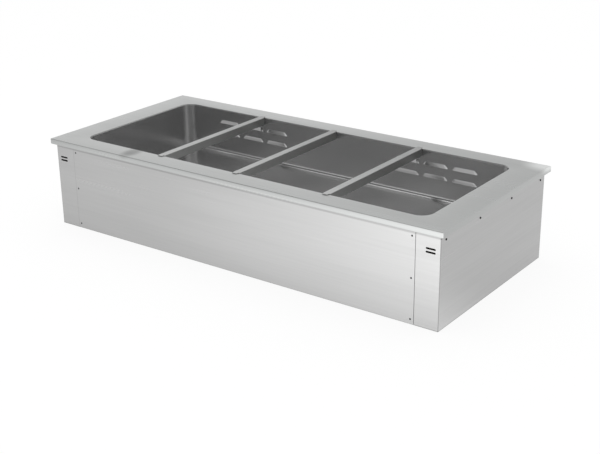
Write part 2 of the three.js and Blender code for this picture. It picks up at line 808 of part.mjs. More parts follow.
// The air probe, pushed through the left box's end plate.
function airProbe() {
  const plateX = blowerPlaces.left + airBoxLength / 2;
  const centre = [0, rotorY - probeSetback, rotorZ - probeDrop];
  const stem = rod("x", probeRadius, [plateX - probeLength, plateX + probeCollarLength], centre, smallSides);
  const collar = rod("x", probeCollar, [plateX + fit, plateX + fit + probeCollarLength], centre, smallSides);
  return meshFrom("air_temperature_probe", stem.add(collar), darkSteel);
}

function blower(side) {
  const centreX = blowerPlaces[side];
  const group = new THREE.Group();
  group.add(airBox(side + "_air_box", centreX));
  group.add(blowerRotor(side + "_blower_rotor", centreX));
  group.add(blowerScroll(side + "_blower_scroll", centreX));
  group.add(blowerMotor(side + "_blower_motor", centreX));
  group.add(rotorBush(side + "_rotor_bush", centreX));
  group.add(heatingElement(side + "_heating_element", centreX));
  group.add(safetyThermostat(side + "_safety_thermostat", centreX));
  return group;
}

// The drain: a flanged waste through the floor, its gasket, nut and pipe, and a lift-out plug.
function drain() {
  const group = new THREE.Group();
  const centre = [drainX, drainY, 0];
  const flangeLow = floorTop + fit;
  const flangeTop = flangeLow + drainFlange;
  const tailLow = floorTop - drainTail;
  const waste = rod("z", drainFlangeRadius, [flangeLow, flangeTop], centre)
    .add(rod("z", drainTubeRadius, [tailLow, flangeTop], centre))
    .subtract(rod("z", drainBoreRadius, [tailLow - overrun, flangeTop + overrun], centre));
  group.add(meshFrom("drain_waste", waste, steel));
  const gasketTop = floorUnder - fit;
  const gasketLow = gasketTop - gasketThickness;
  const clearTube = rod("z", drainTubeRadius + fit, [0, floorTop], centre);
  const gasket = rod("z", gasketRadius, [gasketLow, gasketTop], centre).subtract(clearTube);
  group.add(meshFrom("drain_gasket", gasket, foam));
  const nutTop = gasketLow - fit;
  const nut = rod("z", nutRadius, [nutTop - nutHeight, nutTop], centre, hexSides).subtract(clearTube);
  group.add(meshFrom("drain_backnut", nut, palePlastic));
  const pipeBore = drainTubeRadius + fit;
  const pipe = rod("z", pipeBore + pipeWall, [pipeFoot, tailLow + pipeOverlap], centre).subtract(
    rod("z", pipeBore, [pipeFoot - overrun, tailLow + pipeOverlap + overrun], centre),
  );
  group.add(meshFrom("drain_pipe", pipe, palePlastic));
  const seatZ = flangeTop + fit;
  const lidTop = seatZ + plugLid;
  const plug = turned([
    [0, seatZ - plugDepth],
    [drainBoreRadius - fit - plugTaper, seatZ - plugDepth],
    [drainBoreRadius - fit, seatZ],
    [plugLidRadius, seatZ],
    [plugLidRadius, lidTop - plugLid / 3],
    [plugLidRadius - plugLid / 3, lidTop],
    [plugKnobNeck, lidTop],
    [plugKnobNeck, lidTop + plugKnobHeight / 2],
    [plugKnobRadius, lidTop + (2 * plugKnobHeight) / 3],
    [plugKnobRadius, lidTop + plugKnobHeight - plugLid / 2],
    [plugKnobNeck, lidTop + plugKnobHeight],
    [0, lidTop + plugKnobHeight],
  ]);
  plug.rotateX(Math.PI / 2).translate(drainX, drainY, 0);
  group.add(meshFrom("drain_plug", solidFrom(plug), foam));
  return group;
}

// The terminal block on the base, behind the left vent slots.
function terminalBlock() {
  const x = terminalFromCorner - bodyX;
  const y = terminalFromCorner - bodyY;
  const lowZ = casingSheet + fit;
  const halfWidth = terminalWidth / 2;
  const base = block(
    [x - halfWidth, x + halfWidth],
    [y, y + terminalLength],
    [lowZ, lowZ + terminalHeight - terminalStep],
  );
  const ridge = block(
    [x - halfWidth + terminalStep / 2, x + halfWidth - terminalStep / 2],
    [y, y + terminalLength],
    [lowZ, lowZ + terminalHeight],
  );
  let body = base.add(ridge);
  for (let way = 1; way < terminalWays; way += 1) {
    const slitY = y + (way * terminalLength) / terminalWays;
    body = body.subtract(
      block(
        [x - halfWidth - overrun, x + halfWidth + overrun],
        [slitY - terminalSlit / 2, slitY + terminalSlit / 2],
        [lowZ + terminalHeight - terminalSlitDepth, lowZ + terminalHeight + overrun],
      ),
    );
  }
  return meshFrom("terminal_block", body, palePlastic);
}

// The inlet for the supply cable, through the rear panel.
function cableGland() {
  const centre = [glandFromSeam - seamX, 0, glandHeight];
  const outside = bodyY + fit;
  const inside = bodyY - casingSheet - fit;
  const gland = rod("y", glandRadius, [outside, outside + glandHead], centre, hexSides)
    .add(rod("y", glandThread, [inside - glandNut, outside + glandHead], centre))
    .add(rod("y", glandRadius, [inside - glandNut, inside], centre, hexSides))
    .subtract(rod("y", glandBore, [inside - glandNut - overrun, outside + glandHead + overrun], centre));
  return meshFrom("cable_gland", gland, blackPlastic);
}

const foodWell = new THREE.Group();
foodWell.name = "drop_in_food_well";
foodWell.add(topFrame(), rimSeal(), wellTub(), crossbars(), insulation());
foodWell.add(facePanel("front_panel", -1), panelScrews("front", -1));
foodWell.add(facePanel("rear_panel", 1), panelScrews("rear", 1));
foodWell.add(sidePanel("left_side_panel", -1), sideScrews("left", -1));
foodWell.add(sidePanel("right_side_panel", 1), sideScrews("right", 1));
foodWell.add(basePan(), sideRail("front_rail", -1), sideRail("rear_rail", 1));
foodWell.add(endRail("left_end_rail", -1), endRail("right_end_rail", 1));
foodWell.add(blower("left"), blower("right"), airProbe());
foodWell.add(drain(), terminalBlock(), cableGland());

export default foodWell;
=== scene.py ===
# %% [markdown]
# This is a drop in food well. A stainless steel tub hangs in a hole in a counter from a folded rim,
# loose bars across it carry four pans, and fans behind its rear wall blow warm air through louvres.
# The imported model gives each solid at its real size. This script loads it as a fixed frame and
# makes the finer sheet metal, the screws and every surface finish around it. All sizes are metres.

# %% Load the frame
import math

import bmesh
import bpy
from mathutils import Matrix, Vector


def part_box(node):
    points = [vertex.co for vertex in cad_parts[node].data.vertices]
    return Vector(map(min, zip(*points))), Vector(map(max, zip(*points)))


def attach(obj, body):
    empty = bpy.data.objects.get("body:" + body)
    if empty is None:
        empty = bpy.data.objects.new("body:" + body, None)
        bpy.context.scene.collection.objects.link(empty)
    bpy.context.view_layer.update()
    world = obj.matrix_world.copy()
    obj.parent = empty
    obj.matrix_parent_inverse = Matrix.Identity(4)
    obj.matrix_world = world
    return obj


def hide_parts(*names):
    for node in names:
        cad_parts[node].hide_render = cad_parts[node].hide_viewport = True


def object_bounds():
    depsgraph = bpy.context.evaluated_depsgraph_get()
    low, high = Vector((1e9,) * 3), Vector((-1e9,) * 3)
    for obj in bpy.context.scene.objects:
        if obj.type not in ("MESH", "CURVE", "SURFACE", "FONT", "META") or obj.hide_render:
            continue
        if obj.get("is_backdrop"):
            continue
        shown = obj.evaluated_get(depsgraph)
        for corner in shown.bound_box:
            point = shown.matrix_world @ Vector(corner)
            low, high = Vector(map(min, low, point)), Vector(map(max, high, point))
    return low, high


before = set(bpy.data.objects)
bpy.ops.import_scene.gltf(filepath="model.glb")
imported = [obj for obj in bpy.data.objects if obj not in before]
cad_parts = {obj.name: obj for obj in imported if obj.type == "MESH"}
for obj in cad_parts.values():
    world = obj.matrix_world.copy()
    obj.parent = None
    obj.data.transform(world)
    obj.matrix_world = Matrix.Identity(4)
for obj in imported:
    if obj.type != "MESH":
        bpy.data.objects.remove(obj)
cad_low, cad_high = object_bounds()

cad_size = [round(high - low, 4) for low, high in zip(cad_low, cad_high)]
print("frame:", len(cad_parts), "nodes,", cad_size, "m")

# %% [markdown]
# The camera comes first, so that each piece can be looked at from the photograph's place as soon
# as it exists. A camera could be turned by trial, but its place is easier to read as an azimuth and
# an elevation round a point on the object, with the lens as a focal length on a 36 mm sensor.

# %% Camera
CAMERA_AZIMUTH = math.radians(36.375)
CAMERA_ELEVATION = math.radians(21.550)
CAMERA_ROLL = math.radians(-0.743)
CAMERA_DISTANCE = 3.365
CAMERA_TARGET = Vector((0.2533, -0.2941, 0.1946))
CAMERA_LENS = 69.59
CAMERA_SENSOR = 36.0


def camera_axes():
    """The camera's right, up and backward directions."""
    across = Vector((math.cos(CAMERA_AZIMUTH), math.sin(CAMERA_AZIMUTH), 0))
    back = Vector((
        math.sin(CAMERA_AZIMUTH) * math.cos(CAMERA_ELEVATION),
        -math.cos(CAMERA_AZIMUTH) * math.cos(CAMERA_ELEVATION),
        math.sin(CAMERA_ELEVATION),
    ))
    above = back.cross(across)
    right = across * math.cos(CAMERA_ROLL) + above * math.sin(CAMERA_ROLL)
    up = above * math.cos(CAMERA_ROLL) - across * math.sin(CAMERA_ROLL)
    return right, up, back


right, up, back = camera_axes()
camera_data = bpy.data.cameras.new("camera")
camera_data.lens = CAMERA_LENS
camera_data.sensor_width = CAMERA_SENSOR
camera_data.sensor_fit = "HORIZONTAL"
camera = bpy.data.objects.new("camera", camera_data)
turn = Matrix((right, up, back)).transposed().to_4x4()
camera.matrix_world = Matrix.Translation(CAMERA_TARGET + back * CAMERA_DISTANCE) @ turn
bpy.context.scene.collection.objects.link(camera)
bpy.context.scene.camera = camera
print("camera at", [round(v, 3) for v in camera.matrix_world.translation])

# %% [markdown]
# Shader trees and Geometry Nodes trees are built by one small helper that adds a node, sets its
# options and either types a value into each input or links another node's output to it. It keeps
# every later cell about the object rather than about wiring.

# %% Node helper
def put(tree, kind, inputs=(), **options):
    """Adds a node. An input's value is a number or another node's output."""
    node = tree.nodes.new(kind)
    for option, value in options.items():
        setattr(node, option, value)
    for key, value in dict(inputs).items():
        if isinstance(value, bpy.types.NodeSocket):
            tree.links.new(value, node.inputs[key])
        else:
            node.inputs[key].default_value = value
    return node


def first(tree, kind, inputs=(), **options):
    """Adds a node and gives its first output."""
    return put(tree, kind, inputs, **options).outputs[0]


def maths(tree, operation, *values):
    """One sum on numbers or outputs."""
    return first(tree, "ShaderNodeMath", dict(enumerate(values)), operation=operation)


def start_material(name):
    """An empty material with a Principled shader, and the pattern coordinates."""
    material = bpy.data.materials.new(name)
    material.use_nodes = True
    tree = material.node_tree
    tree.nodes.clear()
    shader = put(tree, "ShaderNodeBsdfPrincipled")
    output = put(tree, "ShaderNodeOutputMaterial")
    tree.links.new(shader.outputs["BSDF"], output.inputs["Surface"])
    place = put(tree, "ShaderNodeTexCoord")
    return material, tree, shader, place


def surface(tree, shader, colour, roughness, metallic, height=None, depth=0, strength=0):
    """Joins a finish's patterns to its shader, with a bump where a height is given."""
    tree.links.new(colour, shader.inputs["Base Color"])
    tree.links.new(roughness, shader.inputs["Roughness"])
    shader.inputs["Metallic"].default_value = metallic
    if height is not None:
        values = {"Height": height, "Distance": depth, "Strength": strength}
        bump = put(tree, "ShaderNodeBump", values)
        tree.links.new(bump.outputs["Normal"], shader.inputs["Normal"])

# %% [markdown]
# Brushed steel is polished with a belt that leaves fine parallel scratches. They could be a picture,
# but noise stretched along the belt's direction has no edge and no repeat. The scratches run along
# the piece: along X on the long faces, and along Y on faces that look sideways. A second, broad noise
# gives the soft clouds that a rolled sheet shows, and both move the tone, the gloss and a small bump.
# The photographed room also shows in the steel, as shine lines, a dark spot and a bright corner. This
# studio has nothing there to mirror, so those are painted reflections, where the tone is raised or
# lowered softly at fixed places on the sheet. The dark lines at folds, at seams and under the rim, the
# darker slots, lower louvres and well corner, the brighter fronts, and bars that darken towards the
# rear and have lighter legs are painted shade and light in the same way. Unlike real reflections and
# shadows, they stay put in other views.

# %% Brushed steel
STREAK_LENGTH = 0.30
STREAK_WIDTH = 0.006
STREAK_DETAIL = 1.5
STREAK_RELIEF = 0.15
CLOUD_LENGTH = 0.55
CLOUD_WIDTH = 0.05
CLOUD_DETAIL = 2.0
SIDEWAYS = 0.7
PATCH_CORE = 0.2


def drawn_noise(tree, vector, scale, detail):
    """Noise drawn out by its three scales, from 0 to 1."""
    drawn = first(tree, "ShaderNodeMapping", {"Vector": vector, "Scale": scale})
    noise = put(tree, "ShaderNodeTexNoise", {"Vector": drawn, "Scale": 1.0, "Detail": detail})
    return noise.outputs["Fac"]


def along_the_belt(tree, place):
    """Object coordinates with X and Y swapped on faces that look sideways."""
    parts = put(tree, "ShaderNodeSeparateXYZ", {0: place.outputs["Object"]}).outputs
    swapped = first(tree, "ShaderNodeCombineXYZ", {0: parts[1], 1: parts[0], 2: parts[2]})
    across = first(tree, "ShaderNodeSeparateXYZ", {0: place.outputs["Normal"]})
    sideways = maths(tree, "GREATER_THAN", maths(tree, "ABSOLUTE", across), SIDEWAYS)
    values = {0: sideways, 4: place.outputs["Object"], 5: swapped}
    return put(tree, "ShaderNodeMix", values, data_type="VECTOR").outputs[1]


def spread(tree, value, low, high, from_low=0.3, from_high=0.7):
    """Maps the middle of a noise onto a range."""
    return first(tree, "ShaderNodeMapRange", {0: value, 1: from_low, 2: from_high, 3: low, 4: high})


def change_along(tree, place, axis, start, stop, before, after):
    """A factor that goes from one value to another between two places on an axis."""
    parts = put(tree, "ShaderNodeSeparateXYZ", {0: place.outputs["Object"]})
    return spread(tree, parts.outputs["XYZ".index(axis)], before, after, start, stop)


def change_around(tree, place, centre, size, inside):
    """A factor that is one outside a soft round patch."""
    values = {0: place.outputs["Object"], 1: centre}
    away = first(tree, "ShaderNodeVectorMath", values, operation="SUBTRACT")
    share = first(tree, "ShaderNodeVectorMath", {0: away, 1: size}, operation="DIVIDE")
    length = put(tree, "ShaderNodeVectorMath", {0: share}, operation="LENGTH").outputs["Value"]
    values = {0: length, 1: PATCH_CORE, 2: 1.0, 3: inside, 4: 1.0}
    return first(tree, "ShaderNodeMapRange", values, interpolation_type="SMOOTHSTEP")


def brushed_steel(name, colour, roughness, tone_change=0.05, gloss_change=0.05,
                  scratch_depth=0.000004, painted_changes=(), painted_patches=()):
    """Stainless steel with a belt finish, and painted light and shade at fixed places."""
    material, tree, shader, place = start_material(name)
    vector = along_the_belt(tree, place)
    streak_scale = (1 / STREAK_LENGTH, 1 / STREAK_WIDTH, 1 / STREAK_WIDTH)
    cloud_scale = (1 / CLOUD_LENGTH, 1 / CLOUD_WIDTH, 1 / CLOUD_WIDTH)
    streaks = drawn_noise(tree, vector, streak_scale, STREAK_DETAIL)
    clouds = drawn_noise(tree, vector, cloud_scale, CLOUD_DETAIL)
    mean = maths(tree, "MULTIPLY", maths(tree, "ADD", streaks, clouds), 0.5)
    bright = spread(tree, mean, 1 - tone_change, 1 + tone_change)
    # Each of these factors is painted light or shade at a fixed place on the sheet.
    painted_factors = [change_along(tree, place, *values) for values in painted_changes]
    painted_factors += [change_around(tree, place, *values) for values in painted_patches]
    for factor in painted_factors:
        bright = maths(tree, "MULTIPLY", bright, factor)
    tint = first(tree, "ShaderNodeVectorMath", {0: colour, "Scale": bright}, operation="SCALE")
    gloss = spread(tree, mean, roughness + gloss_change, roughness - gloss_change)
    surface(tree, shader, tint, gloss, 1.0, streaks, scratch_depth, STREAK_RELIEF)
    return material


# Each patch and change below is painted light or shade: a highlight, a reflection or a shade that the
# lamps here don't give. A patch has its centre, its half sizes and the tone in its middle. A change has
# its axis, the two places between which it happens, and the tone before and after them.
# Rim: painted shade along the front fold, a painted highlight on the outer face, a painted dark reflection
# on the top's front left and a painted bright reflection at the rear right corner.
RIM_PAINTED_LIGHT_AND_SHADE = {
    "painted shade along the front fold": ((0, -0.3295, 0.2992), (4, 0.0016, 0.0017), 0.88),
    "painted highlight on the rim's outer face": ((-0.3, -0.330, 0.286), (0.7, 0.0025, 0.018), 1.2),
    "painted dark reflection on the rim's top": ((-0.413, -0.286, 0.3), (0.038, 0.065, 0.02), 0.49),
    "painted bright reflection at the rear corner": ((0.735, 0.32, 0.3), (0.09, 0.07, 0.02), 1.75),
}
# Panels: painted shade in a thin line under the rim's overhang, all round, and along the foot.
PANEL_PAINTED_SHADE_LINES = {
    "painted shade under the rim all round": ("Z", 0.2712, 0.2718, 1, 0.78),
    "painted shade at the base": ("Z", 0.0030, 0.0015, 1, 0.7),
}
# Panels: painted light across the front's middle, and painted shade in the left seam, under the rim's
# right side, on both front corner folds and inside the vent slots.
PANEL_PAINTED_LIGHT_AND_SHADE = {
    "painted light across the front's middle": ((-0.3, -0.316, 0.2), (0.8, 0.02, 0.35), 1.11),
    "painted shade in the seam on the left": ((-0.6537, -0.316, 0.14), (0.0018, 0.004, 4), 0.6),
    "painted shade under the rim's right side": ((0.731, 0, 0.2725), (0.003, 4, 0.002), 0.6),
    "painted shade on the fold at the left corner": ((-0.731, -0.316, 0.14), (0.0022, 0.0022, 4), 0.5),
    "painted shade on the fold at the right corner": ((0.731, -0.316, 0.14), (0.0022, 0.0022, 4), 0.5),
    "painted shade inside the left slots": ((-0.7005, -0.3148, 0.23325), (0.06, 0.0012, 0.04), 0.1),
    "painted shade inside the right slots": ((0.7005, -0.3148, 0.23325), (0.06, 0.0012, 0.04), 0.1),
}
# Bars: painted light and shade that make each bar brighter at the front and darker at the rear, and
# painted light that makes the legs lighter than the top.
BAR_PAINTED_LIGHT_AND_SHADE = {
    "painted light at the front, shade at the rear": ("Y", -0.26, 0.26, 1.12, 0.80),
    # Painted light: the legs below the top are lighter.
    "legs": ("Z", 0.2985, 0.2975, 1, 1.3),
}
# Well: a painted highlight along the rear fillet with a painted dark reflection under it, and painted
# shade on the lower louvre row and in the rear left corner.
WELL_PAINTED_LIGHT_AND_SHADE = {
    "painted highlight along the rear fillet": ((0, 0.2595, 0.1501), (4, 0.0040, 0.0040), 1.6),
    "painted dark reflection below the highlight": ((0, 0.2566, 0.1448), (4, 0.0034, 0.0034), 0.5),
    "painted shade on the louvres' lower row": ((0, 0.2558, 0.2160), (4, 0.0035, 0.0140), 0.8),
    "painted shade in the left rear corner": ((-0.641, 0.248, 0.22), (0.04, 0.04, 0.3), 0.85),
}
rim_steel = brushed_steel("rim_steel", (0.424, 0.432, 0.428), 0.28, 0.035, 0.01,
                          painted_patches=RIM_PAINTED_LIGHT_AND_SHADE.values())
panel_steel = brushed_steel("panel_steel", (0.435, 0.435, 0.434), 0.30, 0.035, 0.03, 0.000006,
                            PANEL_PAINTED_SHADE_LINES.values(), PANEL_PAINTED_LIGHT_AND_SHADE.values())
bar_steel = brushed_steel("bar_steel", (0.39, 0.394, 0.39), 0.36, painted_changes=BAR_PAINTED_LIGHT_AND_SHADE.values())
well_steel = brushed_steel("well_steel", (0.52, 0.52, 0.52), 0.24, 0.02, 0.03, 0.000006,
                           painted_patches=WELL_PAINTED_LIGHT_AND_SHADE.values())
screw_steel = brushed_steel("screw_steel", (0.018, 0.018, 0.018), 0.42)
print("brushed steels:", len(bpy.data.materials), "materials so far")

# %% [markdown]
# The hidden metalwork is zinc coated sheet. Its coat sets in flat crystals, the spangle, that shine
# a little differently, so Voronoi cells set the tone and the gloss of each crystal.

# %% Zinc coated sheet
SPANGLE = 0.007


def two_tones(tree, share, dark, light):
    """A colour between two near tones."""
    values = {0: share, 6: (*dark, 1), 7: (*light, 1)}
    return put(tree, "ShaderNodeMix", values, data_type="RGBA").outputs[2]


def zinc_sheet(name):
    """Zinc crystals, each with its own tone and gloss."""
    material, tree, shader, place = start_material(name)
    values = {"Vector": place.outputs["Object"], "Scale": 1 / SPANGLE}
    cells = put(tree, "ShaderNodeTexVoronoi", values)
    tone = put(tree, "ShaderNodeSeparateColor", {0: cells.outputs["Color"]}).outputs
    colour = two_tones(tree, tone[0], (0.40, 0.42, 0.43), (0.54, 0.56, 0.57))
    surface(tree, shader, colour, spread(tree, tone[1], 0.34, 0.52, 0, 1), 1.0)
    return material


zinc_steel = zinc_sheet("zinc_steel")
print("zinc coated sheet: crystals about", SPANGLE * 1000, "mm")

# %% [markdown]
# The soft and moulded finishes share one recipe: a noise or a cell pattern at the right scale moves
# the colour between two near tones, changes the roughness a little and drives a bump. Mineral wool is
# fibrous and matt, foam has small cells, and moulded plastic has only a faint grain.

# %% Soft and moulded finishes
ROUGHNESS_CHANGE = 0.05
GRAIN_RELIEF = 0.8


def grained(name, dark, light, grain, roughness, depth, stretch=(1, 1, 1), metallic=0.0):
    """A finish whose grain is one noise, stretched if need be."""
    material, tree, shader, place = start_material(name)
    scale = tuple(part / grain for part in stretch)
    noise = drawn_noise(tree, place.outputs["Object"], scale, 4.0)
    colour = two_tones(tree, spread(tree, noise, 0, 1), dark, light)
    rough = spread(tree, noise, roughness - ROUGHNESS_CHANGE, roughness + ROUGHNESS_CHANGE)
    surface(tree, shader, colour, rough, metallic, noise, depth, GRAIN_RELIEF)
    return material


# Each finish has its dark and light tones, grain size, roughness and relief depth.
GRAINED = {
    "mineral_wool": ((0.42, 0.36, 0.20), (0.62, 0.56, 0.36), 0.004, 0.92, 0.0012, (0.25, 1, 1)),
    "seal_foam": ((0.012, 0.012, 0.013), (0.030, 0.030, 0.032), 0.0008, 0.90, 0.0003),
    "plug_rubber": ((0.014, 0.014, 0.015), (0.026, 0.026, 0.028), 0.003, 0.62, 0.00005),
    "black_plastic": ((0.012, 0.012, 0.013), (0.022, 0.022, 0.024), 0.0012, 0.50, 0.00004),
    "pale_plastic": ((0.62, 0.60, 0.54), (0.70, 0.69, 0.64), 0.010, 0.45, 0.00005),
    "motor_iron": ((0.05, 0.052, 0.056), (0.16, 0.165, 0.17), 0.0007, 0.45, 0.0001, (1, 0.01, 0.01), 0.8),
    "element_steel": ((0.10, 0.085, 0.07), (0.22, 0.19, 0.15), 0.012, 0.42, 0.00003, (1, 1, 1), 1.0),
}
grained_finishes = {name: grained(name, *values) for name, values in GRAINED.items()}
print("finishes:", len(bpy.data.materials))

# %% [markdown]
# Sheet metal is drawn as loops of points. A loft joins loops of equal length into a skin, and a skin
# that closes on itself is a solid with real thickness. These helpers make the loops, the loft and the
# outline of a bent sheet, and then give each solid clean normals and slightly eased edges.

# %% Loop and loft helpers
CORNER_STEPS = 12
BEND_STEPS = 5
MERGE = 0.00001
SHARP = math.radians(32)
LEG_SHARE = 0.49


def add_object(name, mesh):
    piece = bpy.data.objects.new(name, mesh)
    bpy.context.scene.collection.objects.link(piece)
    return piece


def clean(mesh):
    """Merges doubled points and turns every face outwards."""
    form = bmesh.new()
    form.from_mesh(mesh)
    bmesh.ops.remove_doubles(form, verts=form.verts, dist=MERGE)
    bmesh.ops.recalc_face_normals(form, faces=form.faces)
    form.to_mesh(mesh)
    form.free()


def build(name, points, faces):
    """A clean object from points and faces."""
    mesh = bpy.data.meshes.new(name)
    mesh.from_pydata(points, [], faces)
    clean(mesh)
    return add_object(name, mesh)


def loft(name, loops, ring=True):
    """A solid through loops of points. A ring joins its last loop to its first."""
    around = len(loops[0])
    points = [point for loop in loops for point in loop]
    faces = []
    for row in range(len(loops) if ring else len(loops) - 1):
        here = row * around
        there = ((row + 1) % len(loops)) * around
        for i in range(around):
            j = (i + 1) % around
            faces.append((here + i, here + j, there + j, there + i))
    if not ring:
        faces.append(tuple(range(around)))
        faces.append(tuple(range(len(points) - around, len(points))))
    return build(name, points, faces)


def rounded_loop(half_x, half_y, radius, z, steps=CORNER_STEPS):
    """A level rectangle with round corners."""
    loop = []
    for corner, (side_x, side_y) in enumerate(((1, 1), (-1, 1), (-1, -1), (1, -1))):
        for step in range(steps + 1):
            angle = (corner + step / steps) * math.pi / 2
            x = side_x * (half_x - radius) + radius * math.cos(angle)
            y = side_y * (half_y - radius) + radius * math.sin(angle)
            loop.append((x, y, z))
    return loop


def rounded_path(path, radius, steps=BEND_STEPS):
    """A section's path with each inner corner turned into an arc, smaller where a leg is short."""
    made = [Vector(path[0])]
    for before, corner, after in zip(path, path[1:], path[2:]):
        corner = Vector(corner)
        back_way = (Vector(before) - corner).normalized()
        on_way = (Vector(after) - corner).normalized()
        half_angle = back_way.angle(on_way) / 2
        legs = [(Vector(end) - corner).length for end in (before, after)]
        reach = min(radius / math.tan(half_angle), LEG_SHARE * min(legs))
        centre = corner + (back_way + on_way).normalized() * (reach / math.cos(half_angle))
        start = corner + back_way * reach - centre
        end = corner + on_way * reach - centre
        sweep = start.angle_signed(end)
        for step in range(steps + 1):
            share = step / steps
            turned = Matrix.Rotation(-sweep * share, 2) @ start
            made.append(centre + turned)
    made.append(Vector(path[-1]))
    return made


def sheet_outline(path, thickness):
    """The closed outline of a sheet whose one face follows the path, with thickness to its left."""
    other = []
    for i, point in enumerate(path):
        came = (point - path[max(i - 1, 0)]).normalized()
        goes = (path[min(i + 1, len(path) - 1)] - point).normalized()
        came = goes if i == 0 else came
        goes = came if i == len(path) - 1 else goes
        normal = Vector((-came.y - goes.y, came.x + goes.x)).normalized()
        stretch = thickness / (normal.x * -came.y + normal.y * came.x)
        other.append(point + normal * stretch)
    return list(path) + other[::-1]


def lay(outline, axis, at):
    """A flat outline set across an axis, at a place along it."""
    place = "xyz".index(axis)
    return [(*point[:place], at, *point[place:]) for point in outline]


def push(name, outline, axis, stations):
    """An outline drawn along an axis through the given stations."""
    return loft(name, [lay(outline, axis, at) for at in stations], ring=False)


def circle(radius, sides):
    """Pairs of numbers round a circle."""
    angles = [2 * math.pi * i / sides for i in range(sides)]
    return [(radius * math.cos(angle), radius * math.sin(angle)) for angle in angles]


def quarter(steps=BEND_STEPS):
    """The cosine and sine of each step of a quarter turn."""
    angles = [step / steps * math.pi / 2 for step in range(steps + 1)]
    return [(math.cos(angle), math.sin(angle)) for angle in angles]


def spun(name, profile, sides, axis="z", ring=False):
    """A solid turned about an axis, from pairs of a radius and a place along it."""
    return loft(name, [lay(circle(radius, sides), axis, at) for radius, at in profile], ring)


def settle(piece):
    """Turns the result of the live modifiers into the piece's own mesh."""
    view = bpy.context.evaluated_depsgraph_get()
    live = piece.evaluated_get(view)
    made = bpy.data.meshes.new_from_object(live, preserve_all_data_layers=True, depsgraph=view)
    old = piece.data
    piece.modifiers.clear()
    piece.data = made
    bpy.data.meshes.remove(old)
    return piece


def cut(piece, tool, operation="DIFFERENCE"):
    """Cuts a piece with a tool, or joins the tool to it, and deletes the tool."""
    step = piece.modifiers.new("cut", "BOOLEAN")
    step.operation = operation
    step.solver = "EXACT"
    step.object = tool
    settle(piece)
    bpy.data.meshes.remove(tool.data)
    return piece


def shift(piece, *offset):
    """Moves a piece by moving its mesh, so that the object stays at the origin."""
    piece.data.transform(Matrix.Translation(offset))
    return piece


def ease(piece, width, segments=2):
    """Rounds the sharp edges a little and shades the piece smoothly."""
    clean(piece.data)
    if width > 0:
        bevel = piece.modifiers.new("edges", "BEVEL")
        bevel.width = width
        bevel.segments = segments
        bevel.limit_method = "ANGLE"
        bevel.angle_limit = SHARP
        settle(piece)
    piece.data.shade_smooth()
    piece.data.set_sharp_from_angle(angle=SHARP)
    even = piece.modifiers.new("shading", "WEIGHTED_NORMAL")
    even.keep_sharp = True
    return settle(piece)


def dress(piece, material, body, slot, *nodes):
    """Gives a finished piece its material and its body, and hides the nodes that it stands for. Its slot
    is not used.
    """
    piece.data.materials.clear()
    piece.data.materials.append(material)
    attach(piece, body)
    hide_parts(*nodes)
    print(piece.name, "has", len(piece.data.polygons), "faces")
    return piece

# %% [markdown]
# The rim is one sheet, cut out over the well and folded down round its outside, with the last
# 12 mm folded back up inside as a hem so that no raw edge shows. A bevelled box would have no hem and
# no thin lip, so the whole section is drawn as loops that run round the sheet's outside and inside.

# %% Rim
rim_low, rim_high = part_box("top_frame")
well_low, well_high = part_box("well_tub")
RIM_SHEET = 0.0015
RIM_BEND = 0.0024
RIM_CORNER = 0.0024
RIM_HEM = 0.003
RIM_HEM_HEIGHT = 0.012
RIM_HEM_DEPTH = 0.0015
RIM_HEM_DROP = 0.0024
OPENING_CORNER = 0.040
OPENING_EDGE = 0.0006
WELL_SHEET = 0.0012
WELL_FLANGE = 0.014

rim_x = rim_high.x
rim_y = rim_high.y
rim_top = rim_high.z
opening_x = well_high.x - WELL_SHEET - WELL_FLANGE
opening_y = well_high.y - WELL_SHEET - WELL_FLANGE
print("rim", [round(2 * v, 4) for v in (rim_x, rim_y)], "m, opening", round(2 * opening_x, 4), "m")


def rim_loop(inset, z, corner=RIM_CORNER):
    """A loop round the rim's outside, drawn in by an inset."""
    return rounded_loop(rim_x - inset, rim_y - inset, max(corner - inset, MERGE), z)


def make_rim():
    """The loops from the opening's edge over the top, down the outside and up inside the hem."""
    under = rim_top - RIM_SHEET
    foot = rim_low.z
    loops = [rounded_loop(opening_x, opening_y, OPENING_CORNER, under)]
    for cosine, sine in quarter():
        out = OPENING_EDGE * (1 - cosine)
        z = rim_top - OPENING_EDGE + OPENING_EDGE * sine
        loops.append(rounded_loop(opening_x + out, opening_y + out, OPENING_CORNER + out, z))
    for cosine, sine in quarter():
        loops.append(rim_loop(RIM_BEND * (1 - sine), rim_top - RIM_BEND * (1 - cosine)))
    for cosine, sine in quarter():
        loops.append(rim_loop(RIM_HEM_DEPTH * (1 - cosine), foot + RIM_HEM_DROP * (1 - sine)))
    for cosine, sine in quarter():
        inset = RIM_HEM - RIM_HEM_DEPTH * (1 - sine)
        loops.append(rim_loop(inset, foot + RIM_HEM_DROP * (1 - cosine)))
    loops.append(rim_loop(RIM_HEM, rim_low.z + RIM_HEM_HEIGHT))
    loops.append(rim_loop(RIM_SHEET, rim_low.z + RIM_HEM_HEIGHT))
    loops.append(rim_loop(RIM_SHEET, under))
    return loft("rim_sheet", loops)


rim = make_rim()
rim.data.shade_smooth()
rim.data.set_sharp_from_angle(angle=SHARP)
dress(rim, rim_steel, "casing", "rim_steel", "top_frame")

# %% [markdown]
# Many parts of this object repeat: louvres, screws, vent slots and fan blades. Geometry Nodes can
# place copies by rule. One tree puts a part on the points of a grid, another grows the tub, and a
# third sets blades round a rotor. This cell holds the helpers that start a tree with named inputs
# and turn its result into a plain mesh.

# %% Geometry Nodes helpers
FLOAT = "NodeSocketFloat"
WHOLE = "NodeSocketInt"
VECTOR = "NodeSocketVector"
OBJECT = "NodeSocketObject"
FINISH = "NodeSocketMaterial"


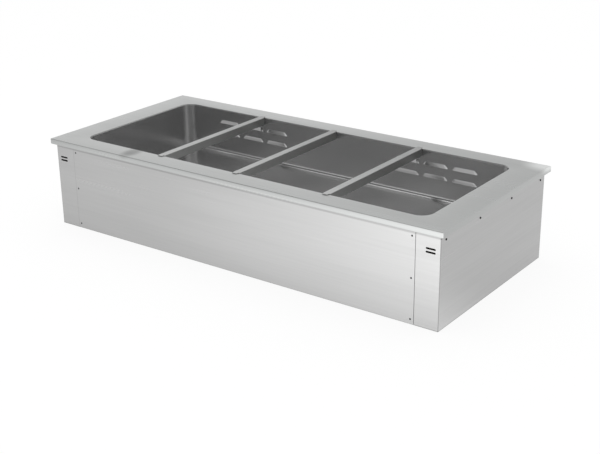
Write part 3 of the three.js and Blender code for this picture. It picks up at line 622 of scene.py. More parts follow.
def start_tree(name, sizes):
    """A Geometry Nodes tree with named inputs, and its group input and output nodes."""
    tree = bpy.data.node_groups.new(name, "GeometryNodeTree")
    for label, kind in sizes:
        tree.interface.new_socket(label, in_out="INPUT", socket_type=kind)
    tree.interface.new_socket("Geometry", in_out="OUTPUT", socket_type="NodeSocketGeometry")
    return tree, tree.nodes.new("NodeGroupInput").outputs, tree.nodes.new("NodeGroupOutput")


def end_tree(tree, shape, finish, output):
    """Every tree ends in Realize Instances and Set Material."""
    real = first(tree, "GeometryNodeRealizeInstances", {0: shape})
    painted = first(tree, "GeometryNodeSetMaterial", {"Geometry": real, "Material": finish})
    tree.links.new(painted, output.inputs[0])


def shape_of(tree, part):
    """The shape of an object that is given to a tree."""
    return put(tree, "GeometryNodeObjectInfo", {"Object": part}).outputs["Geometry"]


def join(tree, shapes):
    """Several shapes as one."""
    joined = tree.nodes.new("GeometryNodeJoinGeometry")
    for shape in shapes:
        tree.links.new(shape, joined.inputs[0])
    return joined.outputs[0]


def grow(name, tree, values):
    """Runs a tree with the given sizes and keeps the result as a plain mesh."""
    piece = add_object(name, bpy.data.meshes.new(name))
    maker = piece.modifiers.new("maker", "NODES")
    maker.node_group = tree
    for item in tree.interface.items_tree:
        if item.in_out == "INPUT":
            maker[item.identifier] = values[item.name]
    return settle(piece)


def pattern_tree():
    """Copies of one part on the points of a grid, which can be turned to stand upright."""
    sizes = [("Part", OBJECT), ("Columns", WHOLE), ("Rows", WHOLE), ("Length", FLOAT), ("Height", FLOAT),
             ("Turn", VECTOR), ("Centre", VECTOR), ("Finish", FINISH)]
    tree, given, output = start_tree("pattern", sizes)
    grid = put(tree, "GeometryNodeMeshGrid", {
        "Size X": given["Length"], "Size Y": given["Height"],
        "Vertices X": given["Columns"], "Vertices Y": given["Rows"],
    })
    placed = first(tree, "GeometryNodeTransform", {
        "Geometry": grid.outputs["Mesh"], "Translation": given["Centre"], "Rotation": given["Turn"],
    })
    copies = first(tree, "GeometryNodeInstanceOnPoints", {
        "Points": placed, "Instance": shape_of(tree, given["Part"]),
    })
    end_tree(tree, copies, given["Finish"], output)
    return tree


pattern = pattern_tree()
UPRIGHT = (math.pi / 2, 0, 0)


def repeat(name, part, columns, rows, length, height, centre, finish, turn=UPRIGHT):
    """Copies of a part on a grid. The part is left for the next use."""
    values = {"Part": part, "Columns": columns, "Rows": rows, "Length": length, "Height": height,
              "Turn": Vector(turn), "Centre": Vector(centre), "Finish": finish}
    return grow(name, pattern, values)


def discard(*pieces):
    for piece in pieces:
        bpy.data.meshes.remove(piece.data)


print("pattern tree with", len(pattern.nodes), "nodes")

# %% [markdown]
# The well is one tub: walls, a rounded edge where they meet the floor, upright corners of 40 mm and a
# flange under the rim. Its shape follows a rule, a section carried round a rounded rectangle, so
# Geometry Nodes make it: a path from a rectangle and a fillet, the section swept along it, and the
# floor filled in on both faces of the sheet.

# %% Well tub
FILLET = 0.014
FILLET_STEPS = 10
FLOOR_LEG = 3 * FILLET
FLANGE_BEND = 0.002
floor_top = well_low.z + WELL_SHEET


def tub_section():
    """The sheet's section from the floor's upper face, up the wall, over the flange and back under it."""
    lip = WELL_SHEET + WELL_FLANGE
    top = well_high.z
    corner = [(-FLOOR_LEG, floor_top), (0, floor_top), (0, top)]
    face = rounded_path(corner, FILLET, FILLET_STEPS)[1:-1]
    face += rounded_path([(0, floor_top + FILLET), (0, top), (lip, top)], FLANGE_BEND)[1:]
    outline = sheet_outline(face, -WELL_SHEET)
    mesh = bpy.data.meshes.new("tub_section")
    mesh.from_pydata([(out, -height, 0) for out, height in outline],
                     [(i, i + 1) for i in range(len(outline) - 1)], [])
    return add_object("tub_section", mesh)


def tub_tree():
    """A section swept round a rounded rectangle, with its two open edges filled."""
    sizes = [("Section", OBJECT), ("Length", FLOAT), ("Depth", FLOAT), ("Corner", FLOAT), ("Steps", WHOLE),
             ("Floor", FLOAT), ("Underside", FLOAT), ("Finish", FINISH)]
    tree, given, output = start_tree("tub", sizes)
    outline = first(tree, "GeometryNodeCurvePrimitiveQuadrilateral", {
        "Width": given["Length"], "Height": given["Depth"],
    })
    path = first(tree, "GeometryNodeFilletCurve", {
        "Curve": outline, "Radius": given["Corner"], "Count": given["Steps"],
    }, mode="POLY")
    level = first(tree, "GeometryNodeSetCurveNormal", {"Curve": path}, mode="Z_UP")
    profile = first(tree, "GeometryNodeMeshToCurve", {"Mesh": shape_of(tree, given["Section"])})
    sheet = first(tree, "GeometryNodeCurveToMesh", {"Curve": level, "Profile Curve": profile})
    neighbours = first(tree, "GeometryNodeInputMeshEdgeNeighbors")
    values = {2: neighbours, 3: 1}
    open_edge = first(tree, "FunctionNodeCompare", values, data_type="INT", operation="EQUAL")
    position = first(tree, "GeometryNodeInputPosition")
    height_of = put(tree, "ShaderNodeSeparateXYZ", {0: position}).outputs[2]
    middle = maths(tree, "DIVIDE", maths(tree, "ADD", given["Floor"], given["Underside"]), 2.0)
    pieces = [sheet]
    for side, height in (("GREATER_THAN", given["Floor"]), ("LESS_THAN", given["Underside"])):
        values = {0: open_edge, 1: maths(tree, side, height_of, middle)}
        chosen = first(tree, "FunctionNodeBooleanMath", values, operation="AND")
        edge = first(tree, "GeometryNodeMeshToCurve", {"Mesh": sheet, "Selection": chosen})
        filled = first(tree, "GeometryNodeFillCurve", {"Curve": edge}, mode="NGONS")
        lift = first(tree, "ShaderNodeCombineXYZ", {2: height})
        pieces.append(first(tree, "GeometryNodeTransform", {"Geometry": filled, "Translation": lift}))
    merging = {"Geometry": join(tree, pieces), "Distance": MERGE}
    merged = first(tree, "GeometryNodeMergeByDistance", merging)
    end_tree(tree, merged, given["Finish"], output)
    return tree


section = tub_section()
well = grow("well_basin", tub_tree(), {
    "Section": section, "Length": 2 * opening_x, "Depth": 2 * opening_y, "Corner": OPENING_CORNER,
    "Steps": CORNER_STEPS, "Floor": floor_top, "Underside": well_low.z, "Finish": well_steel,
})
discard(section)
clean(well.data)
print("well tub has", len(well.data.polygons), "faces")

# %% [markdown]
# Two groups of six louvres are pressed out of the rear wall. Each is a shallow hood, open along its
# lower edge, so that the air leaves downwards and crumbs stay out. One hood is drawn as a height over
# the wall: a slope towards the lip and steeper ends, met by a soft crease. The pattern tree copies it,
# and a smaller copy hollows each hood out from behind.

# %% Louvre hoods
LOUVRE_MOUTH = 0.090
LOUVRE_TOP_INSET = 0.012
LOUVRE_LIP_INSET = 0.003
LOUVRE_HEIGHT = 0.012
LOUVRE_PROJECTION = 0.005
LOUVRE_PITCH = 0.105
LOUVRE_ROW_PITCH = 0.040
LOUVRE_DROP = 0.038
LOUVRE_COLUMNS = 3
LOUVRE_ROWS = 2
LOUVRE_CREASE = 0.0010
OVERRUN = 0.002
GROUP_CENTRES = {"left": 0.298 - opening_x, "right": opening_x - 0.270}


def hood_height(x, drop, wall):
    """How far a hood stands out of the wall, this far from its middle and below its top."""
    slope = LOUVRE_PROJECTION / LOUVRE_HEIGHT
    end_slope = LOUVRE_PROJECTION / LOUVRE_LIP_INSET
    half = LOUVRE_MOUTH / 2 - LOUVRE_TOP_INSET * (1 - drop / LOUVRE_HEIGHT)
    front = slope * drop - wall
    end = end_slope * (half - abs(x)) - wall * 2
    gap = max(LOUVRE_CREASE - abs(front - end), 0) / LOUVRE_CREASE
    return min(front, end) - gap * gap * LOUVRE_CREASE / 4


def hood(name, wall, below, behind, columns=40, rows=8):
    """One hood, or its hollow when it is drawn in by a wall."""
    half = LOUVRE_MOUTH / 2
    drops = [(LOUVRE_HEIGHT + below) * i / rows for i in range(rows + 1)]
    points = []
    for on_front in (False, True):
        for drop in drops:
            for i in range(columns + 1):
                x = -half + 2 * half * i / columns
                out = -behind
                if on_front:
                    out = max(hood_height(x, min(drop, LOUVRE_HEIGHT), wall), -behind)
                points.append((x, -out, -drop))
    around = columns + 1
    layer = around * (rows + 1)
    faces = []
    for row in range(rows):
        for i in range(columns):
            a = row * around + i
            faces.append((a, a + 1, a + 1 + around, a + around))
            faces.append((layer + a, layer + a + around, layer + a + around + 1, layer + a + 1))
    for row in range(rows):
        for a in (row * around, row * around + columns):
            faces.append((a, a + around, layer + a + around, layer + a))
    for i in range(columns):
        for a in (i, rows * around + i):
            faces.append((a, a + 1, layer + a + 1, layer + a))
    return build(name, points, faces)


outside = hood("hood_outside", 0, 0, WELL_SHEET / 2)
hollow = hood("hood_hollow", WELL_SHEET, OVERRUN, WELL_SHEET + OVERRUN)
row_middle = rim_top - LOUVRE_DROP - LOUVRE_ROW_PITCH * (LOUVRE_ROWS - 1) / 2
for shape, operation in ((outside, "UNION"), (hollow, "DIFFERENCE")):
    for side, centre in GROUP_CENTRES.items():
        copies = repeat(
            side + "_" + shape.name, shape, LOUVRE_COLUMNS, LOUVRE_ROWS,
            LOUVRE_PITCH * (LOUVRE_COLUMNS - 1), LOUVRE_ROW_PITCH * (LOUVRE_ROWS - 1),
            (centre, opening_y, row_middle), well_steel,
        )
        cut(well, copies, operation)
discard(outside, hollow)
print("well with louvres has", len(well.data.polygons), "faces")

# %% [markdown]
# The drain goes through the well's floor. A round hole is cut with a cylinder that is a little wider
# than the waste's tube.

# %% Drain hole
def centre_of(node):
    """The middle of a node's box."""
    return [(low + high) / 2 for low, high in zip(*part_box(node))]


DRAIN_TUBE = 0.022
FIT = 0.0003
drain_x, drain_y = centre_of("drain_waste")[:2]
drain_hole = DRAIN_TUBE + FIT
through = [(drain_hole, well_low.z - OVERRUN), (drain_hole, floor_top + OVERRUN)]
cut(well, shift(spun("drain_cutter", through, 48), drain_x, drain_y, 0))
ease(well, 0)
dress(well, well_steel, "casing", "well_steel", "well_tub")

# %% [markdown]
# The crossbars are upside-down channels. Each one's top runs on past its legs at both ends and lies on
# the rim. The section is a bent sheet pushed along Y, and the tabs are joined to it.

# %% Crossbars
BAR_SHEET = 0.0015
BAR_BEND = 0.0025
BAR_END_GAP = 0.0025
TAB_CORNER = 0.002
EASED = 0.0003


def make_bar(name, node):
    """A channel with a tab on each end."""
    low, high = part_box(node)
    half = (high.x - low.x) / 2
    middle = (high.x + low.x) / 2
    corners = [(half, low.z), (half, high.z), (-half, high.z), (-half, low.z)]
    path = rounded_path(corners, BAR_BEND)
    leg_reach = opening_y - BAR_END_GAP
    bar = push(name, sheet_outline(path, BAR_SHEET), "y", (-leg_reach, leg_reach))
    tab_half = half - BAR_BEND
    loops = []
    for z in (high.z - BAR_SHEET, high.z):
        loops.append(rounded_loop(tab_half, high.y, TAB_CORNER, z, 4))
    cut(bar, loft("tab", loops, ring=False), "UNION")
    shift(bar, middle, 0, 0)
    ease(bar, EASED)
    # Easing can lift a point by about a micron, so none is left above the bar's real top.
    for vertex in bar.data.vertices:
        vertex.co.z = min(vertex.co.z, high.z)
    return bar


for side in ("left", "middle", "right"):
    bar = make_bar(side + "_bar_channel", side + "_crossbar")
    dress(bar, bar_steel, side + "_bar", "bar_steel", side + "_crossbar")

# %% [markdown]
# The casing's side shells are folded from one sheet each: the side, the strip round the front corner
# and the strip round the rear corner. Where the front and rear panels lap over them, the strips step
# back by one sheet. The plan outline is pushed upwards, and then vent slots and screw holes are cut.

# %% Side shells
CASING_SHEET = 0.0012
CASING_BEND = 0.0013
STRIP_WIDTH = 0.077
JOGGLE_WIDTH = 0.024
JOGGLE_RUN = 0.0003
SCREW_HOLE = 0.0019
VENT_LENGTH = 0.031
VENT_HEIGHT = 0.0055
VENT_PITCH = 0.0105
VENT_DROP = 0.0615
VENT_FROM_CORNER = 0.015
VENT_COUNT = 2
VENT_END_STEPS = 8
PANEL_SCREW_INSET = 0.011
SCREW_LENGTH = 0.009
SIDE_SCREWS = 4

side_low, side_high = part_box("right_side_panel")
body_x = side_high.x
body_y = side_high.y
seam_x = body_x - STRIP_WIDTH
screw_top_z = centre_of("front_screw_1")[2]
screw_low_z = centre_of("front_screw_3")[2]
screw_height = screw_top_z - screw_low_z
screw_middle = (screw_top_z + screw_low_z) / 2
panel_screw_x = seam_x - PANEL_SCREW_INSET
side_screw_y = -centre_of("right_side_screw_1")[1]


def slot_tool(name):
    """A round-ended cutter that lies along X and goes through the sheet along Y."""
    radius = VENT_HEIGHT / 2
    half = VENT_LENGTH / 2 - radius
    outline = []
    for end, start in ((1, -90), (-1, 90)):
        for step in range(VENT_END_STEPS + 1):
            angle = math.radians(start + 180 * step / VENT_END_STEPS)
            outline.append((end * half + radius * math.cos(angle), radius * math.sin(angle)))
    return push(name, outline, "y", (-CASING_SHEET - OVERRUN, CASING_SHEET + OVERRUN))


def hole_tool(name, axis):
    """A small round cutter through one sheet or two."""
    return push(name, circle(SCREW_HOLE, 16), axis, (-SCREW_LENGTH, SCREW_LENGTH))


def cut_panel_holes(piece, side_y, rows):
    """Cuts the holes of a removable panel's screws."""
    tool = hole_tool("hole", "y")
    centre = (0, side_y * body_y, screw_middle)
    cut(piece, repeat("holes", tool, 2, rows, 2 * panel_screw_x, screw_height, centre, panel_steel))
    discard(tool)


def make_side(name, side):
    """A side with its two folded strips, vent slots and screw holes."""
    step = CASING_SHEET + FIT
    corners = [(seam_x, -body_y), (body_x, -body_y), (body_x, body_y), (seam_x, body_y)]
    front_step = [Vector((seam_x - inset, step - body_y)) for inset in (JOGGLE_WIDTH, JOGGLE_RUN)]
    rear_step = [Vector((seam_x - inset, body_y - step)) for inset in (JOGGLE_RUN, JOGGLE_WIDTH)]
    outline = sheet_outline(front_step + rounded_path(corners, CASING_BEND) + rear_step, CASING_SHEET)
    shell = push(name, [(side * x, y) for x, y in outline], "z", (side_low.z, side_high.z))
    slot = slot_tool("slot")
    vent_x = body_x - VENT_FROM_CORNER - VENT_LENGTH / 2
    vent_height = VENT_PITCH * (VENT_COUNT - 1)
    centre = (side * vent_x, -body_y, rim_top - VENT_DROP - vent_height / 2)
    cut(shell, repeat("slots", slot, 1, VENT_COUNT, 0, vent_height, centre, panel_steel))
    hole = hole_tool("hole", "x")
    across = (side * body_x, 0, screw_top_z)
    holes = repeat("holes", hole, 1, SIDE_SCREWS, 0, 2 * side_screw_y, across, panel_steel, (0, 0, 0))
    cut(shell, holes)
    discard(slot, hole)
    cut_panel_holes(shell, -1, 3)
    cut_panel_holes(shell, 1, 2)
    return ease(shell, EASED)


for label, side in (("left", -1), ("right", 1)):
    shell = make_side(label + "_side_shell", side)
    dress(shell, panel_steel, "casing", "panel_steel", label + "_side_panel")

# %% [markdown]
# The front and rear of the casing are removable service panels: a flat sheet with its top edge folded
# inwards to keep it stiff. The section is a bent sheet pushed along X. The fold is cut back at both
# ends, where it would meet the side shells' strips.

# %% Service panels
FOLD_DEPTH = 0.0122
GLAND_HOLE = 0.0083


def make_panel(name, node, side, rows):
    """A sheet with its top edge folded inwards and its screw holes."""
    low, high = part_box(node)
    face = side * body_y
    inner = face - side * FOLD_DEPTH
    path = rounded_path([(face, low.z), (face, high.z), (inner, high.z)], CASING_BEND)
    outline = sheet_outline(path, -side * CASING_SHEET)
    panel = push(name, outline, "x", (low.x, high.x))
    fold_end = seam_x - JOGGLE_WIDTH - FIT
    near, far = sorted((face - side * (CASING_SHEET + FIT / 2), inner - side * OVERRUN))
    for end in (-1, 1):
        start, stop = sorted((end * fold_end, end * (high.x + OVERRUN)))
        corners = [(start, near), (stop, near), (stop, far), (start, far)]
        cut(panel, push("notch", corners, "z", (high.z - 3 * CASING_BEND, high.z + OVERRUN)))
    cut_panel_holes(panel, side, rows)
    return panel


service_panel = ease(make_panel("service_panel", "front_panel", -1, 3), EASED)
dress(service_panel, panel_steel, "front_cover", "panel_steel", "front_panel")

gland_x, _, gland_z = centre_of("cable_gland")
back_panel = make_panel("back_cover", "rear_panel", 1, 2)
ring = [(gland_x + x, gland_z + z) for x, z in circle(GLAND_HOLE, 32)]
cut(back_panel, push("gland_cutter", ring, "y", (body_y - 2 * CASING_SHEET, body_y + OVERRUN)))
ease(back_panel, EASED)
dress(back_panel, panel_steel, "casing", "panel_steel", "rear_panel")

# %% [markdown]
# The panels are held by pan head screws with a cross recess. One head is turned from its profile and
# the cross is cut into it. The pattern tree then copies it along both ends of each panel and along
# the sides, one set for each body that it rides on.

# %% Screws
SCREW_HEAD = 0.0032
SCREW_HEAD_HEIGHT = 0.0016
SCREW_SHANK = 0.0016
RECESS_ARM = 0.0017
RECESS_HALF_WIDTH = 0.00035
RECESS_DEPTH = 0.0009


def cross_tool():
    """A tapered cross that stands on Z."""
    loops = []
    for z, size in ((SCREW_HEAD_HEIGHT - RECESS_DEPTH, 0.6), (SCREW_HEAD_HEIGHT + OVERRUN, 1.4)):
        w = RECESS_HALF_WIDTH * size
        a = RECESS_ARM * size
        arm = [(a, -w), (a, w), (w, w)]
        outline = []
        for _ in range(4):
            outline += arm
            arm = [(-y, x) for x, y in arm]
        loops.append(lay(outline, "z", z))
    return loft("cross", loops, ring=False)


def make_screw():
    """A screw that stands on Z with its seat at the origin."""
    tip = -SCREW_LENGTH
    profile = [(MERGE, tip), (SCREW_SHANK * 0.6, tip), (SCREW_SHANK, tip + SCREW_SHANK),
               (SCREW_SHANK, 0), (SCREW_HEAD, 0)]
    for cosine, sine in quarter(4):
        radius = SCREW_HEAD * (0.55 + 0.45 * cosine)
        profile.append((radius, SCREW_HEAD_HEIGHT * (0.35 + 0.65 * sine)))
    return cut(spun("screw", profile, 24), cross_tool())


def turned_copy(piece, name, rotation):
    """A copy whose mesh is turned."""
    mesh = piece.data.copy()
    mesh.transform(rotation)
    return add_object(name, mesh)


screw = make_screw()
FACINGS = {"front": (1, "X"), "rear": (-1, "X"), "left": (-1, "Y"), "right": (1, "Y")}
facing_screws = {}
for facing_side, (way, axis) in FACINGS.items():
    rotation = Matrix.Rotation(way * math.pi / 2, 4, axis)
    facing_screws[facing_side] = turned_copy(screw, "screw_" + facing_side, rotation)


def screw_set(name, facing_side, columns, rows, length, height, centre, turn, body, nodes):
    """Screws on a grid, dressed as one piece for the nodes that they stand for."""
    part = facing_screws[facing_side]
    piece = repeat(name, part, columns, rows, length, height, centre, screw_steel, turn)
    ease(piece, 0)
    dress(piece, screw_steel, body, "screw_steel", *nodes)


def numbered(prefix, count):
    return [prefix + str(number) for number in range(1, count + 1)]


screw_set("front_screw_set", "front", 2, 3, 2 * panel_screw_x, screw_height,
          (0, -body_y, screw_middle), UPRIGHT, "front_cover", numbered("front_screw_", 6))
screw_set("rear_screw_set", "rear", 2, 2, 2 * panel_screw_x, screw_height,
          (0, body_y, screw_middle), UPRIGHT, "casing", numbered("rear_screw_", 4))
for label, side in (("left", -1), ("right", 1)):
    names = numbered(label + "_side_screw_", SIDE_SCREWS)
    screw_set(label + "_side_screw_set", label, 1, SIDE_SCREWS, 0, 2 * side_screw_y,
              (side * body_x, 0, screw_top_z), (0, 0, 0), "casing", names)
discard(screw, *facing_screws.values())

# %% [markdown]
# The drain is a waste with a dished flange, clamped through the floor by a gasket and a nut, and a
# rubber plug with a knob. All of them are round, so each is a profile turned about the drain's axis.

# %% Drain
ROUND_SIDES = 64
WASTE_EDGE = 0.0006
WASTE_DISH = 0.8
DRAIN_BORE = 0.018
PLUG_STEPS = 4
PLUG_LID = 0.003
PLUG_LID_EDGE = 0.0015
PLUG_NECK = 0.0035
PLUG_KNOB = 0.006
PLUG_KNOB_SQUASH = 0.75
PLUG_TAPER = 0.001
PIPE_SOCKET = 0.016
waste_low, waste_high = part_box("drain_waste")
plug_low, plug_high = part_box("drain_plug")
pipe_low, pipe_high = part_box("drain_pipe")


def on_drain(name, profile, ring):
    """A section turned about the drain's axis. A ring closes on itself and leaves a bore."""
    return shift(spun(name, profile, ROUND_SIDES, ring=ring), drain_x, drain_y, 0)


flange = (waste_high.x - waste_low.x) / 2
seat = well_low.z + WELL_SHEET + FIT
top = waste_high.z
foot = waste_low.z
waste = on_drain("waste_flange", [
    (flange, seat), (flange, seat + WASTE_EDGE), (flange - WASTE_EDGE, top - WASTE_EDGE / 2),
    (flange * WASTE_DISH, top), (DRAIN_BORE + 0.005, top), (DRAIN_BORE + 0.0015, top - 0.0004),
    (DRAIN_BORE, top - 0.0018), (DRAIN_BORE, foot + 0.0005), (DRAIN_BORE + 0.0005, foot),
    (DRAIN_TUBE - 0.0005, foot), (DRAIN_TUBE, foot + 0.0005), (DRAIN_TUBE, seat),
], True)
ease(waste, 0)
dress(waste, rim_steel, "casing", "rim_steel", "drain_waste")


def make_plug():
    """The plug's body, lid and knob as one profile that closes at both ends."""
    lid = (plug_high.x - plug_low.x) / 2
    foot = plug_low.z
    seat_z = waste_high.z + FIT
    lid_top = seat_z + PLUG_LID
    body = DRAIN_BORE - FIT
    profile = [
        (MERGE, foot), (body - PLUG_TAPER - 0.001, foot), (body - PLUG_TAPER, foot + 0.001),
        (body, seat_z - 0.0005), (DRAIN_BORE + 0.0006, seat_z), (lid - 0.0005, seat_z),
        (lid, seat_z + 0.0006),
    ]
    for cosine, sine in quarter(PLUG_STEPS):
        radius = lid - PLUG_LID_EDGE * (1 - cosine)
        profile.append((radius, lid_top - PLUG_LID_EDGE * (1 - sine)))
    profile += [
        (PLUG_NECK + 0.004, lid_top + 0.0002), (PLUG_NECK + 0.001, lid_top + 0.0015),
        (PLUG_NECK, lid_top + 0.004),
    ]
    knob_height = PLUG_KNOB * PLUG_KNOB_SQUASH
    knob_middle = plug_high.z - knob_height
    for step in range(2 * PLUG_STEPS + 1):
        angle = math.radians(-50 + 140 * step / (2 * PLUG_STEPS))
        radius = max(PLUG_KNOB * math.cos(angle), MERGE)
        profile.append((radius, knob_middle + knob_height * math.sin(angle)))
    return on_drain("plug_stopper", profile, False)


plug = ease(make_plug(), 0)
dress(plug, grained_finishes["plug_rubber"], "plug", "plug_rubber", "drain_plug")

pipe_radius = (pipe_high.x - pipe_low.x) / 2
pipe_bore = DRAIN_TUBE + FIT
top = pipe_high.z
pipe = on_drain("outlet_pipe", [
    (pipe_bore, pipe_low.z), (pipe_radius, pipe_low.z), (pipe_radius, top - PIPE_SOCKET),
    (pipe_radius, top - 0.001), (pipe_radius - 0.001, top), (pipe_bore, top),
], True)
ease(pipe, EASED)
dress(pipe, grained_finishes["pale_plastic"], "casing", "pale_plastic", "drain_pipe")

# %% [markdown]
# Behind each louvre group a cross-flow rotor turns. Its curved blades stand in a ring between discs,
# so Geometry Nodes place one blade many times round the axis. A blade is a thin curved strip, and the
# discs and the shaft are joined in the same tree.

# %% Rotors
BLADES = 24
BLADE_SHEET = 0.0006
BLADE_SWEEP = 70
BLADE_CHORD = 0.0055
BLADE_BOW = 0.0052
BLADE_STEPS = 4
ROTOR_DISC = 0.002
SHAFT = 0.003
SHAFT_REACH = 0.012


def blade(name, radius, length):
    """One curved blade at the top of the rotor, along X."""
    path = []
    for step in range(BLADE_STEPS + 1):
        angle = math.radians(90 - BLADE_SWEEP / 2 + BLADE_SWEEP * step / BLADE_STEPS)
        height = radius - BLADE_CHORD + BLADE_BOW * math.sin(angle)
        path.append(Vector((BLADE_CHORD * math.cos(angle), height)))
    return push(name, sheet_outline(path, BLADE_SHEET), "x", (-length / 2, length / 2))


def rotor_tree():
    """Blades on one point, each turned on by its share of a circle, with discs and a shaft."""
    sizes = [("Blade", OBJECT), ("Blades", WHOLE), ("Core", OBJECT), ("Centre", VECTOR),
             ("Finish", FINISH)]
    tree, given, output = start_tree("rotor", sizes)
    points = first(tree, "GeometryNodeMeshLine", {"Count": given["Blades"], "Offset": (0, 0, 0)})
    index = first(tree, "GeometryNodeInputIndex")
    share = maths(tree, "DIVIDE", index, given["Blades"])
    angle = maths(tree, "MULTIPLY", share, 2 * math.pi)
    euler = first(tree, "ShaderNodeCombineXYZ", {0: angle})
    copies = first(tree, "GeometryNodeInstanceOnPoints", {
        "Points": points, "Instance": shape_of(tree, given["Blade"]),
        "Rotation": first(tree, "FunctionNodeEulerToRotation", {0: euler}),
    })
    joined = join(tree, [shape_of(tree, given["Core"]), copies])
    values = {"Geometry": joined, "Translation": given["Centre"]}
    end_tree(tree, first(tree, "GeometryNodeTransform", values), given["Finish"], output)
    return tree


def rotor_core(radius, length):
    """The shaft with its three discs as one turned profile along X."""
    half = length / 2
    profile = [(MERGE, -half - SHAFT_REACH), (SHAFT, -half - SHAFT_REACH)]
    for middle in (-half + ROTOR_DISC / 2, 0, half - ROTOR_DISC / 2):
        low, high = middle - ROTOR_DISC / 2, middle + ROTOR_DISC / 2
        profile += [(SHAFT, low), (radius, low), (radius, high), (SHAFT, high)]
    profile += [(SHAFT, half + SHAFT_REACH), (MERGE, half + SHAFT_REACH)]
    return spun("rotor_core", profile, 40, "x")


spin_tree = rotor_tree()
for side in ("left", "right"):
    low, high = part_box(side + "_blower_rotor")
    radius = (high.z - low.z) / 2
    length = high.x - low.x - 2 * SHAFT_REACH
    one_blade = blade("blade", radius, length - ROTOR_DISC)
    core = rotor_core(radius, length)
    rotor = grow(side + "_fan_rotor", spin_tree, {
        "Blade": one_blade, "Blades": BLADES, "Core": core, "Centre": (low + high) / 2,
        "Finish": zinc_steel,
    })
    discard(one_blade, core)
    ease(rotor, 0)
    dress(rotor, zinc_steel, side + "_rotor", "zinc_steel", side + "_blower_rotor")

# %% [markdown]
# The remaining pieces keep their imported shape, because flat boards, plain angles and boxes need no
# finer one. Each gets its real finish through its material slots.

# %% Finishes of the carried-over pieces
CARRIED = {
    "zinc_steel": ("base_pan", "front_rail", "rear_rail", "left_end_rail", "right_end_rail",
                   "left_air_box", "right_air_box", "left_blower_scroll", "right_blower_scroll"),
    "mineral_wool": ("insulation_floor", "insulation_front", "insulation_left", "insulation_right"),
    "seal_foam": ("rim_seal", "drain_gasket"),
    "motor_iron": ("left_blower_motor", "right_blower_motor"),
    "black_plastic": ("left_rotor_bush", "right_rotor_bush", "left_safety_thermostat",
                      "right_safety_thermostat", "cable_gland"),
    "pale_plastic": ("drain_backnut", "terminal_block"),
    "element_steel": ("left_heating_element", "right_heating_element", "air_temperature_probe"),
}
for finish, names in CARRIED.items():
    for name in names:
        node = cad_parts[name]
        node.data.materials.clear()
        node.data.materials.append(bpy.data.materials[finish])
print("carried over:", sum(len(names) for names in CARRIED.values()), "nodes")

# %% [markdown]
# The background is white. The world and the floor are white where the camera sees them, through
# Light Path, so no lamp has to make them white, and steel reflects them as white apart from the
# places below. The floor is mostly a plain white glow with a share of ordinary diffuse white, which
# keeps the object's shadow.
# Steel shows the room more than the light on it, so some parts of the sky are darker to reflections.
# Rounded edges mirror the first, high in front on the left, as a fine dark line. The louvres' hoods
# mirror the second, the well's corners the third and the rim's right end the last, which is faint.
# An upright front mirrors the floor before it, so a soft pool there, also for reflections alone, is
# brighter than white and makes the front brighter towards its right end. So the front's steel shows
# brighter here than its written colour, and would look greyer in a plain white room.

# %% Stage
WHITE = (1, 1, 1, 1)
FLOOR_SIZE = 60.0
FLOOR_SHADOW_SHARE = 0.16
AMBIENT = 0.85
# The pool has its centre, its half sizes and its brightness. Each dark side has its direction, the
# angles in degrees at which it is full and gone, and how much of the light it takes.
FLOOR_POOL = ((1.0, -1.3, 0), (2.0, 1.4, 1), 2.5)
DARK_SIDES = (
    ((-0.56, -0.49, 0.67), 8, 27, 0.65),
    ((-0.58, -0.76, 0.28), 6, 22, 0.35),
    ((0.55, -0.75, 0.37), 12, 38, 0.55),
    ((-0.36, 0.88, 0.32), 3, 14, 0.2),
)


def seen_directly(tree):
    """One where a ray comes from the camera, a reflection or a transmission."""
    ray = put(tree, "ShaderNodeLightPath").outputs
    either = maths(tree, "MAXIMUM", ray["Is Camera Ray"], ray["Is Glossy Ray"])
    return maths(tree, "MAXIMUM", either, ray["Is Transmission Ray"])


world = bpy.data.worlds.new("world")
world.use_nodes = True
bpy.context.scene.world = world
sky = world.node_tree
sky.nodes.clear()
direction_seen = put(sky, "ShaderNodeTexCoord").outputs["Generated"]
mirrored = put(sky, "ShaderNodeLightPath").outputs["Is Glossy Ray"]
sky_strength = first(sky, "ShaderNodeMapRange", {0: seen_directly(sky), 3: AMBIENT, 4: 1.0})
for direction, inner, outer, share in DARK_SIDES:
    values = {0: direction_seen, 1: Vector(direction).normalized()}
    nearness = put(sky, "ShaderNodeVectorMath", values, operation="DOT_PRODUCT").outputs["Value"]
    edge, core_edge = (math.cos(math.radians(angle)) for angle in (outer, inner))
    values = {0: nearness, 1: edge, 2: core_edge, 3: 0.0, 4: share}
    dark = first(sky, "ShaderNodeMapRange", values, interpolation_type="SMOOTHSTEP")
    dimmed = maths(sky, "MULTIPLY", dark, mirrored)
    sky_strength = maths(sky, "SUBTRACT", sky_strength, dimmed)
light = first(sky, "ShaderNodeBackground", {"Color": WHITE, "Strength": sky_strength})
put(sky, "ShaderNodeOutputWorld", {"Surface": light})

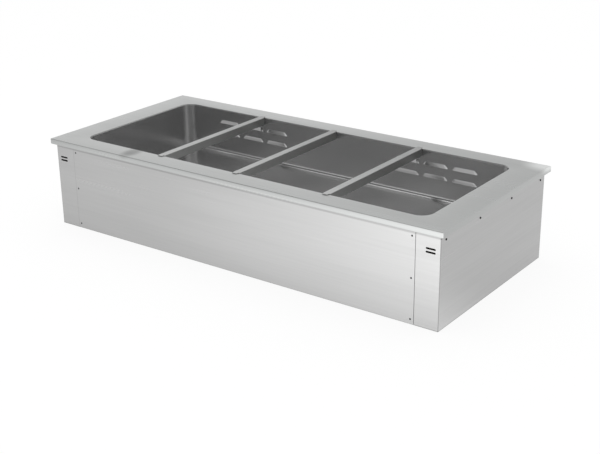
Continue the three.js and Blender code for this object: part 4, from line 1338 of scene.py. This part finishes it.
floor_material = bpy.data.materials.new("floor_white")
floor_material.use_nodes = True
tree = floor_material.node_tree
tree.nodes.clear()
plain_white = first(tree, "ShaderNodeBsdfDiffuse", {"Color": WHITE})
pool = change_around(tree, put(tree, "ShaderNodeTexCoord"), *FLOOR_POOL)
mirrored = put(tree, "ShaderNodeLightPath").outputs["Is Glossy Ray"]
glow_strength = first(tree, "ShaderNodeMapRange", {0: mirrored, 3: 1.0, 4: pool})
missing_light = FLOOR_SHADOW_SHARE * (1 - AMBIENT)
glow_strength = maths(tree, "MULTIPLY", glow_strength, 1.0 + missing_light)
glow = first(tree, "ShaderNodeEmission", {"Color": WHITE, "Strength": glow_strength})
glow_share = maths(tree, "MULTIPLY", seen_directly(tree), 1 - FLOOR_SHADOW_SHARE)
blend = first(tree, "ShaderNodeMixShader", {0: glow_share, 1: plain_white, 2: glow})
put(tree, "ShaderNodeOutputMaterial", {"Surface": blend})

half_floor = FLOOR_SIZE / 2
floor_mesh = bpy.data.meshes.new("floor")
signs = ((-1, -1), (1, -1), (1, 1), (-1, 1))
corners = [(x * half_floor, y * half_floor, 0) for x, y in signs]
floor_mesh.from_pydata(corners, [], [(0, 1, 2, 3)])
floor_mesh.materials.append(floor_material)
floor = add_object("floor", floor_mesh)
floor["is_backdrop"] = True
print("stage: a floor of", FLOOR_SIZE, "m and", len(DARK_SIDES), "darker parts of the sky")

# %% [markdown]
# Soft lamps finish the light. One overhead gives soft light from above. A wide low one stands in
# front on the right. It shows in reflections alone and adds no diffuse light: it puts a shine along
# rounded edges.

# %% Lamps
def facing(place, aim):
    """A transform that puts something at a place with its Z axis pointing away from the aim."""
    away = (Vector(place) - Vector(aim)).normalized()
    return Matrix.Translation(place) @ away.to_track_quat("Z", "Y").to_matrix().to_4x4()


def area_lamp(name, place, aim, width, height, power):
    """A flat lamp at a place, turned to its aim."""
    data = bpy.data.lights.new(name, "AREA")
    data.shape = "RECTANGLE"
    data.size = width
    data.size_y = height
    data.energy = power
    lamp = bpy.data.objects.new(name, data)
    lamp.matrix_world = facing(place, aim)
    bpy.context.scene.collection.objects.link(lamp)
    return lamp


area_lamp("top_lamp", (-0.3, 0.2, 3.2), (0, 0, 0.2), width=2.4, height=1.6, power=10)
far_lamp = area_lamp("far_lamp", (1.2, -4.0, 0.5), (0.3, -0.3, 0.2), width=3.2, height=1.0, power=20)
far_lamp.visible_diffuse = False
print("lamps:", [lamp.name for lamp in bpy.data.lights])

# %% [markdown]
# Last, the plain view transform keeps each colour as written, and the size of the finished model is
# written down beside the frame's own size, to show that nothing has grown past it.

# %% Finish
bpy.context.scene.view_settings.view_transform = "Standard"
low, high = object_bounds()
print("frame box", [round(v, 4) for v in (*cad_low, *cad_high)])
print("finished box", [round(v, 4) for v in (*low, *high)])
